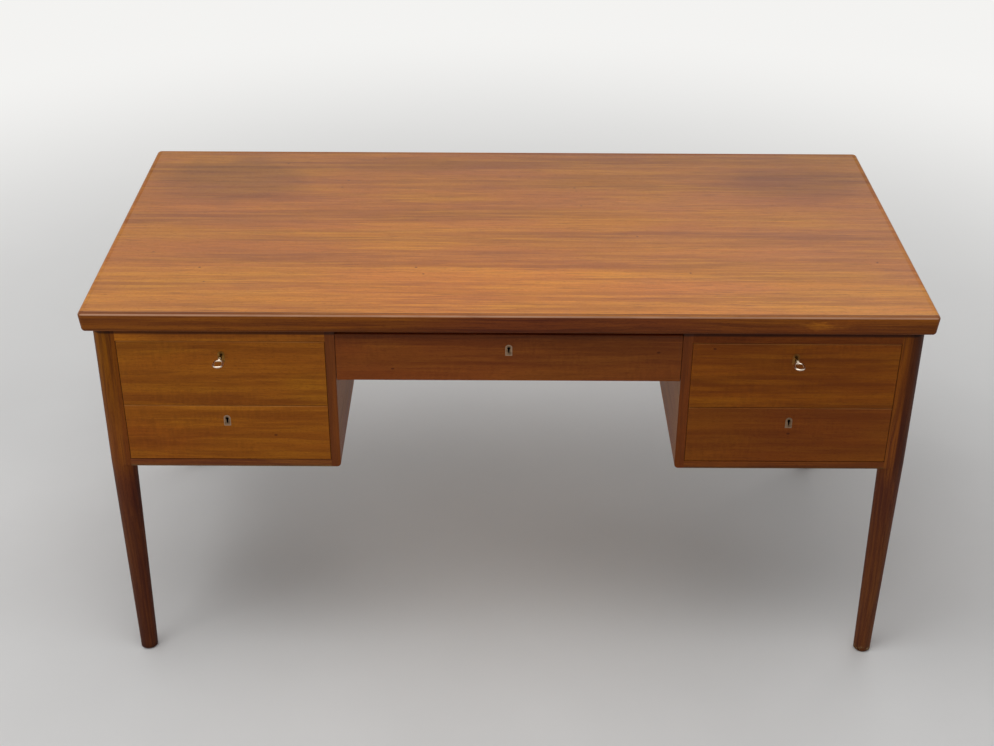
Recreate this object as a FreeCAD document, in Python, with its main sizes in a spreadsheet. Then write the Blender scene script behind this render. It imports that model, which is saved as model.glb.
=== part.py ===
"""Writing desk with two hanging pedestals, five locking drawers and four tapered legs.

Frame: +Z up, front towards -Y, +X to the right. The origin is on the floor, under the middle of the
outline that the top and the two keys make together. All sizes are millimetres.
"""
import FreeCAD, Part
import math
import os
import re
import Sketcher

# Driving sizes, each set once here and read everywhere else from the sheet
SIZES = {
    # top
    "top_width": 1400,
    "top_depth": 700,
    "desk_height": 720,
    "top_thickness": 34.5,
    "lipping_width": 10,
    "lipping_lean": 4,
    "lipping_upper_round": 4.5,
    "lipping_lower_round": 3,
    # legs
    "side_overhang": 13.1,
    "front_setback": 20,
    "back_setback": 20,
    "leg_radius": 21.3,
    "foot_radius": 15.2,
    "foot_bevel": 3,
    "stile_width": 17.4,
    # pedestals
    "pedestal_height": 270.5,
    "drawer_opening": 345.1,
    "inner_panel": 16,
    "panel_corner": 7,
    "bottom_panel": 14,
    "back_panel": 10,
    "back_rail": 18,
    # rails above the drawers
    "rail_drop": 24.5,
    "rail_depth": 26,
    "rail_lap": 8.5,
    "divider_rail": 16,
    "stop_gap": 0.5,
    # drawer fronts
    "front_thickness": 18,
    "front_gap": 0.8,
    "front_round": 1,
    "upper_front": 123,
    "centre_front": 87,
    "centre_drop": 10.5,
    # drawer boxes
    "behind_drawers": 120,
    "box_side": 12,
    "box_back": 10,
    "box_bottom": 5,
    "bottom_tongue": 5,
    "bottom_lift": 8,
    "box_lift": 2,
    "rail_clearance": 3,
    "tail_lap": 5,
    "tail_spacing": 8,
    "tail_flare": 2,
    # runners
    "runner_height": 9,
    "runner_depth": 7,
    "runner_start": 40,
    "runner_clearance": 0.3,
    "groove_gap": 2,
    # locks
    "keyhole_drop": 25,
    "case_width": 42,
    "case_height": 34,
    "case_depth": 10.5,
    "case_wall": 1.5,
    "bolt_width": 20,
    "bolt_thickness": 5,
    "bolt_throw": 8,
    "bolt_foot": 2.7,
    "mortise_clearance": 0.6,
    "slide_clearance": 0.3,
    # keyhole plates
    "plate_width": 11.5,
    "plate_height": 20.5,
    "plate_thickness": 1.2,
    "plate_proud": 0.3,
    "plate_rise": 6.5,
    "plate_fit": 0.05,
    "slot_wide": 3.6,
    "slot_narrow": 2,
    "slot_length": 9,
    "bore_clearance": 1,
    # keys
    "key_reach": 43,
    "key_radius": 2.2,
    "key_clearance": 0.35,
    "bow_width": 18.6,
    "bow_length": 25,
    "bow_wire": 2.7,
    "bit_width": 4,
    "bit_thickness": 2,
    "tip_gap": 1.5,
}

# Places worked out from the driving sizes
PLACES = {
    "key_past": "key_reach - front_setback",
    "top_middle": "key_past / 2",
    "front_face": "top_middle - top_depth / 2 + front_setback",
    "back_face": "top_middle + top_depth / 2 - back_setback",
    "under_top": "desk_height - top_thickness",
    "pedestal_bottom": "under_top - pedestal_height",
    "leg_axis": "top_width / 2 - side_overhang - leg_radius",
    "opening_outer": "leg_axis - stile_width",
    "opening_inner": "opening_outer - drawer_opening",
    "knee_half": "opening_inner - inner_panel",
    "bay_middle": "(opening_outer + opening_inner) / 2",
    "bay_half": "drawer_opening / 2",
    "bay_floor": "pedestal_bottom + bottom_panel",
    "rail_face": "front_face + front_thickness + stop_gap",
    # fronts, from their top and bottom edges
    "upper_top": "under_top - rail_drop - front_gap",
    "upper_low": "upper_top - upper_front",
    "lower_top": "upper_low - front_gap",
    "lower_low": "bay_floor + front_gap",
    "centre_top": "under_top - centre_drop",
    "centre_low": "centre_top - centre_front",
    # set-back rails
    "divider_low": "lower_top - rail_lap",
    "divider_top": "divider_low + divider_rail",
    # drawer boxes behind the fronts; lengths run back from the front face
    "box_length": "back_face - front_face - behind_drawers",
    "lock_middle": "front_thickness + case_depth / 2",
    "upper_box_low": "divider_top + box_lift / 2",
    "lower_box_low": "lower_low + box_lift",
    "centre_box_low": "centre_low + box_lift",
    "upper_box_top": "upper_top - rail_lap - rail_clearance",
    "lower_box_top": "lower_top - rail_lap - rail_clearance",
    "centre_box_top": "centre_top - rail_lap - rail_clearance",
}

TAILS = 3
SIDES = (("left", -1), ("right", 1))

doc = FreeCAD.newDocument("desk")
sheet = doc.addObject("Spreadsheet::Sheet", "Sizes")
for row, (word, size) in enumerate(SIZES.items(), start=1):
    sheet.set(f"A{row}", word)
    sheet.set(f"B{row}", str(size))
    sheet.setAlias(f"B{row}", word)
doc.recompute()

exports = []


def formula(text):
    """The formula with each place written out and each size read from the sheet."""
    def swap(found):
        word = found.group(0)
        if word in PLACES:
            return f"({formula(PLACES[word])})"
        return f"Sizes.{word}" if word in SIZES else word
    return re.sub(r"[a-z_]+", swap, text)


def number(text):
    """The formula's value with the sizes as they stand, for a sketch's first drawing."""
    def swap(found):
        word = found.group(0)
        return f"({number(PLACES[word]) if word in PLACES else sheet.get(word)})"
    return FreeCAD.Units.Quantity(re.sub(r"[a-z_]+", swap, text)).Value


def bind(thing, **settings):
    """Tie properties to formulas; a double underscore stands for a dot."""
    for name, text in settings.items():
        thing.setExpression(name.replace("__", "."), formula(text))


def place(thing, x="0", y="0", z="0"):
    """Put a sub-part where the formulas say."""
    bind(thing, Placement__Base__x=x, Placement__Base__y=y, Placement__Base__z=z)


def keep(thing, label):
    """Name a finished sub-part and list it for export."""
    thing.Label = label
    exports.append(thing)
    return thing


def board(label, low, size):
    """A plain rectangular board from its low corner and its three sizes."""
    box = doc.addObject("Part::Box", label)
    bind(box, Length=size[0], Width=size[1], Height=size[2])
    place(box, *low)
    return box


def group(label, members):
    """Several separate solids in one sub-part."""
    compound = doc.addObject("Part::Compound", label)
    compound.Links = members
    return keep(compound, label)


def new_body(label):
    """An empty body, kept for export under its label."""
    return keep(doc.addObject("PartDesign::Body", label), label)


def new_sketch(body, plane, offset="0"):
    """An empty sketch on one of the body's own origin planes, moved along the plane's normal."""
    sketch = body.newObject("Sketcher::SketchObject", f"{body.Label}_sketch")
    origin_plane = [item for item in body.Origin.OriginFeatures if item.Role == f"{plane}_Plane"][0]
    sketch.AttachmentSupport = [(origin_plane, "")]
    sketch.MapMode = "FlatFace"
    bind(sketch, AttachmentOffset__Base__z=offset)
    return sketch


def pin_point(sketch, geometry, end, corner):
    """Hold one point of a sketch at a pair of formulas."""
    for kind, text in zip(("DistanceX", "DistanceY"), corner):
        index = sketch.addConstraint(Sketcher.Constraint(kind, -1, 1, geometry, end, number(text)))
        sketch.setExpression(f"Constraints[{index}]", formula(text))


def polygon(sketch, corners):
    """A closed outline of straight edges, each corner a pair of formulas."""
    first = sketch.GeometryCount
    points = [FreeCAD.Vector(number(x), number(y), 0) for x, y in corners]
    ends = points[1:] + points[:1]
    sketch.addGeometry([Part.LineSegment(start, end) for start, end in zip(points, ends)], False)
    for index, corner in enumerate(corners):
        following = (index + 1) % len(corners)
        sketch.addConstraint(Sketcher.Constraint("Coincident", first + index, 2, first + following, 1))
        pin_point(sketch, first + index, 1, corner)
    return sketch


def rectangle(sketch, low, high):
    """A rectangle from two opposite corners."""
    return polygon(sketch, [low, (high[0], low[1]), high, (low[0], high[1])])


def circle(sketch, centre, radius):
    """A full circle."""
    middle = FreeCAD.Vector(number(centre[0]), number(centre[1]), 0)
    index = sketch.addGeometry(Part.Circle(middle, FreeCAD.Vector(0, 0, 1), number(radius)), False)
    pin_point(sketch, index, 3, centre)
    held = sketch.addConstraint(Sketcher.Constraint("Radius", index, number(radius)))
    sketch.setExpression(f"Constraints[{held}]", formula(radius))
    return sketch


def arch(sketch, half, low, spring):
    """An outline with a flat foot, two upright sides and a half-round head above the springing line."""
    left, right = f"-({half})", half
    corners = [(left, spring), (left, low), (right, low), (right, spring)]
    points = [FreeCAD.Vector(number(x), number(y), 0) for x, y in corners]
    edges = [Part.LineSegment(start, end) for start, end in zip(points, points[1:])]
    top = number(spring)
    whole = Part.Circle(FreeCAD.Vector(0, top, 0), FreeCAD.Vector(0, 0, 1), number(half))
    sketch.addGeometry(edges + [Part.ArcOfCircle(whole, 0, math.pi)], False)
    for index, corner in enumerate(corners[:3]):
        pin_point(sketch, index, 1, corner)
    pin_point(sketch, 2, 2, corners[3])
    joins = ((0, 2, 1, 1), (1, 2, 2, 1), (2, 2, 3, 1), (3, 2, 0, 1))
    for first, first_end, second, second_end in joins:
        sketch.addConstraint(Sketcher.Constraint("Coincident", first, first_end, second, second_end))
    held = sketch.addConstraint(Sketcher.Constraint("DistanceY", -1, 1, 3, 3, top))
    sketch.setExpression(f"Constraints[{held}]", formula(spring))
    return sketch


def pad(body, sketch, length, reverse=False, symmetric=False):
    """Thicken a sketch into the body."""
    feature = body.newObject("PartDesign::Pad", f"{body.Label}_pad")
    feature.Profile = sketch
    feature.Reversed = reverse
    feature.SideType = "Symmetric" if symmetric else "One side"
    bind(feature, Length=length)
    doc.recompute()
    return feature


def pocket(body, sketch, length=None, reverse=False):
    """Cut a sketch out of the body, right through where no length is given."""
    before = body.Shape.Volume
    feature = body.newObject("PartDesign::Pocket", f"{body.Label}_pocket")
    feature.Profile = sketch
    feature.Reversed = reverse
    if length is None:
        feature.Type = "ThroughAll"
    else:
        bind(feature, Length=length)
    doc.recompute()
    if body.Shape.Volume >= before - 0.01:
        raise RuntimeError(f"{body.Label}: a pocket cut nothing")
    return feature


def revolve(body, sketch, axis):
    """Turn a sketch about an axis, given as a sketch and the name of its line."""
    feature = body.newObject("PartDesign::Revolution", f"{body.Label}_turning")
    feature.Profile = sketch
    feature.ReferenceAxis = axis
    feature.Angle = 360
    doc.recompute()
    return feature


def ease_edges(body, kind, wanted, **size):
    """Fillet or chamfer every edge of the body whose two ends and middle all pass the test."""
    base = body.Tip
    names = []
    for index, edge in enumerate(base.Shape.Edges, start=1):
        points = edge.discretize(Number=3)
        if all(wanted(point) for point in points):
            names.append(f"Edge{index}")
    feature = body.newObject(f"PartDesign::{kind}", f"{body.Label}_{kind.lower()}")
    feature.Base = (base, names)
    bind(feature, **size)
    doc.recompute()
    return feature


def round_edges(body, radius, wanted):
    """Round the edges that pass the test."""
    return ease_edges(body, "Fillet", wanted, Radius=radius)


def bevel_edges(body, width, wanted):
    """Bevel the edges that pass the test."""
    return ease_edges(body, "Chamfer", wanted, Size=width)


def near(value, text):
    """Whether a coordinate lies on the plane that a formula gives."""
    return abs(value - number(text)) < 1e-4


def make_top():
    """The veneered board inside its lipping."""
    core = board(
        "desk_top",
        ("lipping_width - top_width / 2", "top_middle + lipping_width - top_depth / 2", "under_top"),
        ("top_width - 2 * lipping_width", "top_depth - 2 * lipping_width", "top_thickness"),
    )
    keep(core, "desk_top")


def make_lipping(label, length, reach, turn):
    """A mitred strip along one edge: rounded arrises and a face that leans in towards the bottom."""
    body = doc.addObject("PartDesign::Body", label)
    outer = f"-({reach}) / 2"
    section = polygon(new_sketch(body, "YZ"), [
        (f"{outer} + lipping_width", "under_top"),
        (f"{outer} + lipping_lean", "under_top"),
        (outer, "desk_height"),
        (f"{outer} + lipping_width", "desk_height"),
    ])
    pad(body, section, length, symmetric=True)
    round_edges(body, "lipping_upper_round", lambda at: near(at.y, outer) and near(at.z, "desk_height"))
    lean = f"{outer} + lipping_lean"
    round_edges(body, "lipping_lower_round", lambda at: near(at.y, lean) and near(at.z, "under_top"))
    mitres = new_sketch(body, "XY")
    for hand in ("-", ""):
        end = f"{hand}({length}) / 2"
        inset = f"{hand}(({length}) / 2 - lipping_width)"
        inner = f"{outer} + lipping_width"
        polygon(mitres, [(end, outer), (inset, inner), (end, inner)])
    pocket(body, mitres, reverse=True)
    body.Placement = FreeCAD.Placement(FreeCAD.Vector(), FreeCAD.Rotation(FreeCAD.Vector(0, 0, 1), turn))
    place(body, y="top_middle")
    return body


def make_leg(label, hand, front):
    """A leg: round and tapered below, half round with a square stile above."""
    body = new_body(label)
    outline = polygon(new_sketch(body, "XZ"), [
        ("0", "0"),
        ("foot_radius", "0"),
        ("leg_radius", "pedestal_bottom"),
        ("leg_radius", "under_top"),
        ("0", "under_top"),
    ])
    revolve(body, outline, (outline, ["V_Axis"]))
    bevel_edges(body, "foot_bevel", lambda at: near(at.z, "0"))
    inward = -hand
    far = "2 * leg_radius"
    inner_half = new_sketch(body, "XY", "pedestal_bottom")
    rectangle(inner_half, ("0", f"-({far})"), (f"{inward} * ({far})", far))
    pocket(body, inner_half, reverse=True)
    stile = new_sketch(body, "XY", "pedestal_bottom")
    rectangle(stile, ("0", "-leg_radius"), (f"{inward} * stile_width", "leg_radius"))
    pad(body, stile, "pedestal_height")
    axis_y = "front_face + leg_radius" if front else "back_face - leg_radius"
    place(body, f"{hand} * leg_axis", axis_y)


def make_inner_side(label, hand):
    """The panel beside the knee space, with its lower edge rounded towards that space."""
    body = new_body(label)
    low, high = ("front_face", "pedestal_bottom"), ("back_face", "under_top")
    outline = rectangle(new_sketch(body, "YZ"), low, high)
    pad(body, outline, "inner_panel", reverse=hand < 0)
    round_edges(body, "panel_corner", lambda at: near(at.x, "0") and near(at.z, "pedestal_bottom"))
    place(body, f"{hand} * knee_half")


def cut_mortise(body, low):
    """A slot in a rail's underside that takes the bolt of the lock below it."""
    half = "bolt_width / 2 + mortise_clearance"
    middle = "front_face + lock_middle"
    reach = "(bolt_thickness / 2 + mortise_clearance)"
    slot = rectangle(new_sketch(body, "XY", low), (f"-({half})", f"{middle} - {reach}"),
                     (half, f"{middle} + {reach}"))
    pocket(body, slot, "bolt_throw + stop_gap + mortise_clearance", reverse=True)


def make_rail(label, x, half, section, low):
    """A rail across a bay, from its section and the height of its underside."""
    body = new_body(label)
    pad(body, polygon(new_sketch(body, "YZ"), section), f"2 * ({half})", symmetric=True)
    cut_mortise(body, low)
    place(body, x)


def make_pedestal(side, hand):
    """The fixed boards and runners of one pedestal."""
    x = f"{hand} * bay_middle"
    bay_low = "opening_inner" if hand > 0 else "-opening_outer"
    outer_low = "opening_outer" if hand > 0 else "-leg_axis"
    front_stile = "front_face + 2 * leg_radius"
    keep(board(
        f"{side}_outer_side", (outer_low, front_stile, "pedestal_bottom"),
        ("stile_width", f"back_face - 2 * leg_radius - ({front_stile})", "pedestal_height"),
    ), f"{side}_outer_side")
    make_inner_side(f"{side}_inner_side", hand)
    keep(board(
        f"{side}_bottom", (bay_low, "front_face", "pedestal_bottom"),
        ("drawer_opening", "back_face - back_panel - front_face", "bottom_panel"),
    ), f"{side}_bottom")
    keep(board(
        f"{side}_back", (bay_low, "back_face - back_panel", "pedestal_bottom"),
        ("drawer_opening", "back_panel", "pedestal_height"),
    ), f"{side}_back")
    lock_low = "upper_top - rail_lap"
    make_rail(f"{side}_top_rail", x, "bay_half", [
        ("front_face", "under_top - rail_drop"),
        ("rail_face", "under_top - rail_drop"),
        ("rail_face", lock_low),
        ("rail_face + rail_depth", lock_low),
        ("rail_face + rail_depth", "under_top"),
        ("front_face", "under_top"),
    ], lock_low)
    make_rail(f"{side}_divider_rail", x, "bay_half", [
        ("rail_face", "divider_low"),
        ("rail_face + rail_depth", "divider_low"),
        ("rail_face + rail_depth", "divider_top"),
        ("rail_face", "divider_top"),
    ], "divider_low")
    strips = []
    for tier in ("upper", "lower"):
        strips += make_runners(f"{side}_{tier}_runner", tier, x, "bay_half", "back_panel")
    group(f"{side}_runners", strips)


def make_runners(label, tier, x, half, back):
    """The two strips that one drawer slides on, on the panels beside its bay and up to the board behind."""
    y = "front_face + runner_start"
    size = ("runner_depth", f"back_face - {back} - ({y})", "runner_height")
    z = f"({tier}_box_low + {tier}_box_top - runner_height) / 2"
    return [
        board(f"{label}_a", (f"{x} - ({half})", y, z), size),
        board(f"{label}_b", (f"{x} + {half} - runner_depth", y, z), size),
    ]


def make_centre_bay():
    """The rails and runners over the knee space."""
    low = "centre_top - rail_lap"
    make_rail("centre_rail", "0", "knee_half", [
        ("rail_face", low),
        ("rail_face + rail_depth", low),
        ("rail_face + rail_depth", "under_top"),
        ("rail_face", "under_top"),
    ], low)
    keep(board(
        "knee_back_rail", ("-knee_half", "back_face - back_rail", "centre_low"),
        ("2 * knee_half", "back_rail", "under_top - centre_low"),
    ), "knee_back_rail")
    group("centre_runners", make_runners("centre_runner", "centre", "0", "knee_half", "back_rail"))


def tail_edges(tier, index):
    """Heights of one dovetail: its narrow root and its wide tip, low edge and high edge of each."""
    pitch = f"({tier}_box_top - {tier}_box_low) / {TAILS}"
    middle = f"{tier}_box_low + {index + 0.5} * {pitch}"
    tip = f"({pitch} - tail_spacing) / 2"
    root = f"({tip} - tail_flare)"
    return f"{middle} - {root}", f"{middle} - {tip}", f"{middle} + {tip}", f"{middle} + {root}"


def tail_corners(tier, index, root, tip):
    """The four corners of one dovetail between its root line and its tip line."""
    low_root, low_tip, high_tip, high_root = tail_edges(tier, index)
    return [(root, low_root), (tip, low_tip), (tip, high_tip), (root, high_root)]


def cut_sockets(body, tier, half, root, tip):
    """Dovetail sockets in both ends of a drawer's front or back, as deep as a side is thick."""
    for hand in (-1, 1):
        sockets = new_sketch(body, "YZ", f"{hand} * ({half})")
        for index in range(TAILS):
            polygon(sockets, tail_corners(tier, index, root, tip))
        pocket(body, sockets, "box_side", reverse=hand < 0)


def cut_keyhole(body, tier, radius, slot_clearance):
    """A round hole with a slot below it, right through the piece."""
    pin = f"{tier}_top - keyhole_drop"
    start, through = "-2 * front_thickness", "4 * front_thickness"
    hole = circle(new_sketch(body, "XZ", start), ("0", pin), radius)
    pocket(body, hole, through, reverse=True)
    wide = f"slot_wide / 2 + {slot_clearance}"
    narrow = f"slot_narrow / 2 + {slot_clearance}"
    foot = f"{pin} - slot_length - {slot_clearance}"
    slot = polygon(new_sketch(body, "XZ", start),
                   [(f"-({wide})", pin), (f"-({narrow})", foot), (narrow, foot), (wide, pin)])
    pocket(body, slot, through, reverse=True)


def make_front(label, tier, half):
    """A drawer front: eased edges, dovetail sockets, a groove for the bottom and a keyhole."""
    body = new_body(label)
    outline = rectangle(new_sketch(body, "XZ"), (f"-({half})", f"{tier}_low"), (half, f"{tier}_top"))
    pad(body, outline, "front_thickness", reverse=True)
    round_edges(body, "front_round", lambda at: near(at.y, "0"))
    cut_sockets(body, tier, half, "front_thickness", "tail_lap")
    tongue = f"{half} - box_side + bottom_tongue"
    low = f"{tier}_box_low + bottom_lift"
    groove = rectangle(new_sketch(body, "XZ", "-front_thickness"), (f"-({tongue})", low),
                       (tongue, f"{low} + box_bottom"))
    pocket(body, groove, "bottom_tongue", reverse=True)
    recess_half = "plate_width / 2 + plate_fit"
    plate_top = f"{tier}_top - keyhole_drop + plate_rise"
    recess = arch(new_sketch(body, "XZ"), recess_half, f"{plate_top} - plate_height - plate_fit",
                  f"{plate_top} - plate_width / 2")
    pocket(body, recess, "plate_thickness")
    cut_keyhole(body, tier, "key_radius + key_clearance + bore_clearance", "bore_clearance")
    return body


def make_sides(label, tier, half):
    """Two mirrored drawer sides with dovetails at both ends and grooves for the runner and the bottom."""
    body = doc.addObject("PartDesign::Body", f"{label}_a")
    back_root = "box_length - box_back"
    corners = [("front_thickness", f"{tier}_box_low")]
    for index in range(TAILS):
        corners += tail_corners(tier, index, "front_thickness", "tail_lap")
    corners += [("front_thickness", f"{tier}_box_top"), (back_root, f"{tier}_box_top")]
    for index in reversed(range(TAILS)):
        corners += reversed(tail_corners(tier, index, back_root, "box_length"))
    corners.append((back_root, f"{tier}_box_low"))
    pad(body, polygon(new_sketch(body, "YZ", f"-({half})"), corners), "box_side")
    low = f"{tier}_box_low + bottom_lift"
    inner = rectangle(new_sketch(body, "YZ", f"box_side - ({half})"), ("0", low),
                      ("box_length", f"{low} + box_bottom"))
    pocket(body, inner, "bottom_tongue")
    middle = f"({tier}_box_low + {tier}_box_top) / 2"
    reach = "(runner_height / 2 + runner_clearance)"
    outer = rectangle(new_sketch(body, "YZ", f"-({half})"),
                      ("runner_start - groove_gap", f"{middle} - {reach}"),
                      ("box_length", f"{middle} + {reach}"))
    pocket(body, outer, "runner_depth - front_gap + 2 * runner_clearance", reverse=True)
    mirror = doc.addObject("Part::Mirroring", f"{label}_b")
    mirror.Source = body
    mirror.Normal = FreeCAD.Vector(1, 0, 0)
    return group(label, [body, mirror])


def make_box_back(label, tier, half):
    """The back of a drawer box, standing on the bottom, with sockets for the sides' dovetails."""
    body = new_body(label)
    low = f"{tier}_box_low + bottom_lift + box_bottom"
    outline = rectangle(new_sketch(body, "XZ", "box_back - box_length"), (f"-({half})", low),
                        (half, f"{tier}_box_top"))
    pad(body, outline, "box_back", reverse=True)
    cut_sockets(body, tier, half, "box_length - box_back", "box_length")
    return body


def make_box_bottom(label, tier, x, half):
    """The bottom of a drawer box, let into the front and the sides."""
    reach = f"({half} - box_side + bottom_tongue)"
    start = "front_thickness - bottom_tongue"
    low = (f"{x} - {reach}", f"front_face + {start}", f"{tier}_box_low + bottom_lift")
    keep(board(label, low, (f"2 * {reach}", f"box_length - ({start})", "box_bottom")), label)


def make_plate(label, tier):
    """The arched keyhole plate let into a front."""
    body = new_body(label)
    top = f"{tier}_top - keyhole_drop + plate_rise"
    outline = arch(new_sketch(body, "XZ", "plate_proud"), "plate_width / 2", f"{top} - plate_height",
                   f"{top} - plate_width / 2")
    pad(body, outline, "plate_thickness + plate_proud", reverse=True)
    cut_keyhole(body, tier, "key_radius + key_clearance", "0")
    return body


def make_lock_case(label, tier):
    """The lock's case behind the front: a shallow tray with a slot in its top for the bolt."""
    body = new_body(label)
    top = f"{tier}_top - rail_lap - stop_gap"
    foot = f"{top} - case_height"
    back = new_sketch(body, "XZ", "-(front_thickness + case_depth)")
    rectangle(back, ("-case_width / 2", foot), ("case_width / 2", top))
    pad(body, back, "case_depth")
    inside = "case_width / 2 - case_wall"
    cavity = rectangle(new_sketch(body, "XZ", "-front_thickness"), (f"-({inside})", f"{foot} + case_wall"),
                       (inside, f"{top} - case_wall"))
    pocket(body, cavity, "case_depth - case_wall")
    half = "bolt_width / 2 + slide_clearance"
    reach = "(bolt_thickness / 2 + slide_clearance)"
    slot = rectangle(new_sketch(body, "XY", top), (f"-({half})", f"lock_middle - {reach}"),
                     (half, f"lock_middle + {reach}"))
    pocket(body, slot, "2 * case_wall")
    return body


def make_bolt(label, tier):
    """The bolt, drawn back flush with the top of its case."""
    body = new_body(label)
    top = f"{tier}_top - rail_lap - stop_gap"
    foot = f"{tier}_top - keyhole_drop + bolt_foot"
    outline = new_sketch(body, "XZ", "-(lock_middle)")
    rectangle(outline, ("-bolt_width / 2", foot), ("bolt_width / 2", top))
    pad(body, outline, "bolt_thickness", symmetric=True)
    return body


def obround(sketch, half, start, end):
    """An outline with two straight sides along Y and a half-round at each end."""
    reach = number(half)
    low, high = number(f"{start} + {half}"), number(f"{end} - ({half})")
    up = FreeCAD.Vector(0, 0, 1)
    first = sketch.GeometryCount
    right, upper, left, lower = range(first, first + 4)
    sketch.addGeometry([
        Part.LineSegment(FreeCAD.Vector(reach, low, 0), FreeCAD.Vector(reach, high, 0)),
        Part.ArcOfCircle(Part.Circle(FreeCAD.Vector(0, high, 0), up, reach), 0, math.pi),
        Part.LineSegment(FreeCAD.Vector(-reach, high, 0), FreeCAD.Vector(-reach, low, 0)),
        Part.ArcOfCircle(Part.Circle(FreeCAD.Vector(0, low, 0), up, reach), math.pi, 2 * math.pi),
    ], False)
    for one, one_end, two, two_end in ((right, 2, upper, 1), (upper, 2, left, 1),
                                       (left, 2, lower, 1), (lower, 2, right, 1)):
        sketch.addConstraint(Sketcher.Constraint("Tangent", one, one_end, two, two_end))
    pin_point(sketch, upper, 3, ("0", f"{end} - ({half})"))
    pin_point(sketch, lower, 3, ("0", f"{start} + {half}"))
    held = sketch.addConstraint(Sketcher.Constraint("Radius", upper, reach))
    sketch.setExpression(f"Constraints[{held}]", formula(half))
    return sketch


def make_key(label, tier):
    """A key with its bow level: a ring bow, a round shank and a bit that a quarter turn lifts."""
    body = new_body(label)
    pin = f"{tier}_top - keyhole_drop"
    bow_end = "bow_length - key_reach"
    bow = new_sketch(body, "XY", pin)
    obround(bow, "bow_width / 2", "-key_reach", bow_end)
    obround(bow, "bow_width / 2 - bow_wire", "bow_wire - key_reach", f"{bow_end} - bow_wire")
    pad(body, bow, "bow_wire", symmetric=True)
    shank_start = f"{bow_end} - bow_wire / 2"
    tip = "front_thickness + case_depth - case_wall - tip_gap"
    profile = polygon(new_sketch(body, "YZ"), [
        (shank_start, pin),
        (shank_start, f"{pin} + key_radius"),
        (tip, f"{pin} + key_radius"),
        (tip, pin),
    ])
    axis = new_sketch(body, "YZ")
    ends = [("0", pin), ("key_reach", pin)]
    line = Part.LineSegment(*[FreeCAD.Vector(number(y), number(z), 0) for y, z in ends])
    spine = axis.addGeometry(line, False)
    for index, corner in enumerate(ends, start=1):
        pin_point(axis, spine, index, corner)
    revolve(body, profile, (axis, ["Edge1"]))
    bit = new_sketch(body, "XY", pin)
    rectangle(bit, ("-bolt_throw", "lock_middle - bit_width / 2"), ("0", "lock_middle + bit_width / 2"))
    pad(body, bit, "bit_thickness", symmetric=True)
    return body


def make_drawer(name, tier, x, half, keyed):
    """All pieces of one drawer, set in its bay."""
    pieces = [
        make_front(f"{name}_front", tier, half),
        make_sides(f"{name}_sides", tier, half),
        make_box_back(f"{name}_back", tier, half),
        make_plate(f"{name}_keyhole_plate", tier),
        make_lock_case(f"{name}_lock_case", tier),
        make_bolt(f"{name}_bolt", tier),
    ]
    if keyed:
        pieces.append(make_key(f"{name}_key", tier))
    for piece in pieces:
        place(piece, x, "front_face")
    make_box_bottom(f"{name}_bottom", tier, x, half)


make_top()
group("top_lipping", [
    make_lipping("front_lipping", "top_width", "top_depth", 0),
    make_lipping("right_lipping", "top_depth", "top_width", 90),
    make_lipping("back_lipping", "top_width", "top_depth", 180),
    make_lipping("left_lipping", "top_depth", "top_width", 270),
])
for side, hand in SIDES:
    make_leg(f"front_{side}_leg", hand, True)
    make_leg(f"back_{side}_leg", hand, False)
    make_pedestal(side, hand)
make_centre_bay()
for side, hand in SIDES:
    for tier in ("upper", "lower"):
        make_drawer(f"{side}_{tier}_drawer", tier, f"{hand} * bay_middle", "(bay_half - front_gap)",
                    keyed=tier == "upper")
make_drawer("centre_drawer", "centre", "0", "(knee_half - front_gap)", keyed=False)

doc.recompute()
failed = [item.Label for item in doc.Objects if {"Invalid", "Error"} & set(item.State)]
unsound = [item.Label for item in exports if item.Shape.isNull() or not item.Shape.isValid()]
if failed or unsound:
    raise RuntimeError(f"failed: {failed}; unsound: {unsound}")
os.makedirs("parts", exist_ok=True)
for item in exports:
    item.Shape.exportStep(f"parts/{item.Label}.step")
print(f"{len(exports)} sub-parts written")
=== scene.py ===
"""Looks of a teak writing desk: oiled woods, brass plates, locks, keys and screws in a plain studio."""

import logging
import math
from dataclasses import astuple, dataclass, replace
from enum import Enum
from functools import reduce
from typing import Optional, Union

import bmesh
import bpy
from mathutils import Matrix, Vector


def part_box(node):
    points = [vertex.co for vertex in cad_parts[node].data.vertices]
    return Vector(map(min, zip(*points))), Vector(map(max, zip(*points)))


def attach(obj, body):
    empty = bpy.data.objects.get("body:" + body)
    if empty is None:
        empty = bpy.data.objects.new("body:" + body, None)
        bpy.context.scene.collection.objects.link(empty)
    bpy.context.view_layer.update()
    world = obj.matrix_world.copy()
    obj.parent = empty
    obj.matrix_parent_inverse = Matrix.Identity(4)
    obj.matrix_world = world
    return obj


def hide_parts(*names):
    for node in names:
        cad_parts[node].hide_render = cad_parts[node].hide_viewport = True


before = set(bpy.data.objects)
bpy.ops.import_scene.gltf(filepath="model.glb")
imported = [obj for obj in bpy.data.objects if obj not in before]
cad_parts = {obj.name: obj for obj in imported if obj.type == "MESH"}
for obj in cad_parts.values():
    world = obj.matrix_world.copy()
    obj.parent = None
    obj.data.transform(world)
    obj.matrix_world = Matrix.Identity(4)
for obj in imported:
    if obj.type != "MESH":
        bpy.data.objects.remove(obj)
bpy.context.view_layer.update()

Colour = tuple[float, float, float]
Size = tuple[float, float, float]
Pair = tuple[float, float]
Seat = tuple[Size, Size]
Socket = bpy.types.NodeSocket
Value = Union[Socket, float]
Tint = Union[Socket, Colour]
Inputs = dict[Union[str, int], object]

PLAIN: Colour = (1.0, 1.0, 1.0)
NO_SHIFT: Size = (0.0, 0.0, 0.0)
X_AXIS = Vector((1.0, 0.0, 0.0))
Y_AXIS = Vector((0.0, 1.0, 0.0))
Z_AXIS = Vector((0.0, 0.0, 1.0))
MERGE_GAP = 1e-6
log = logging.getLogger("desk")


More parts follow.
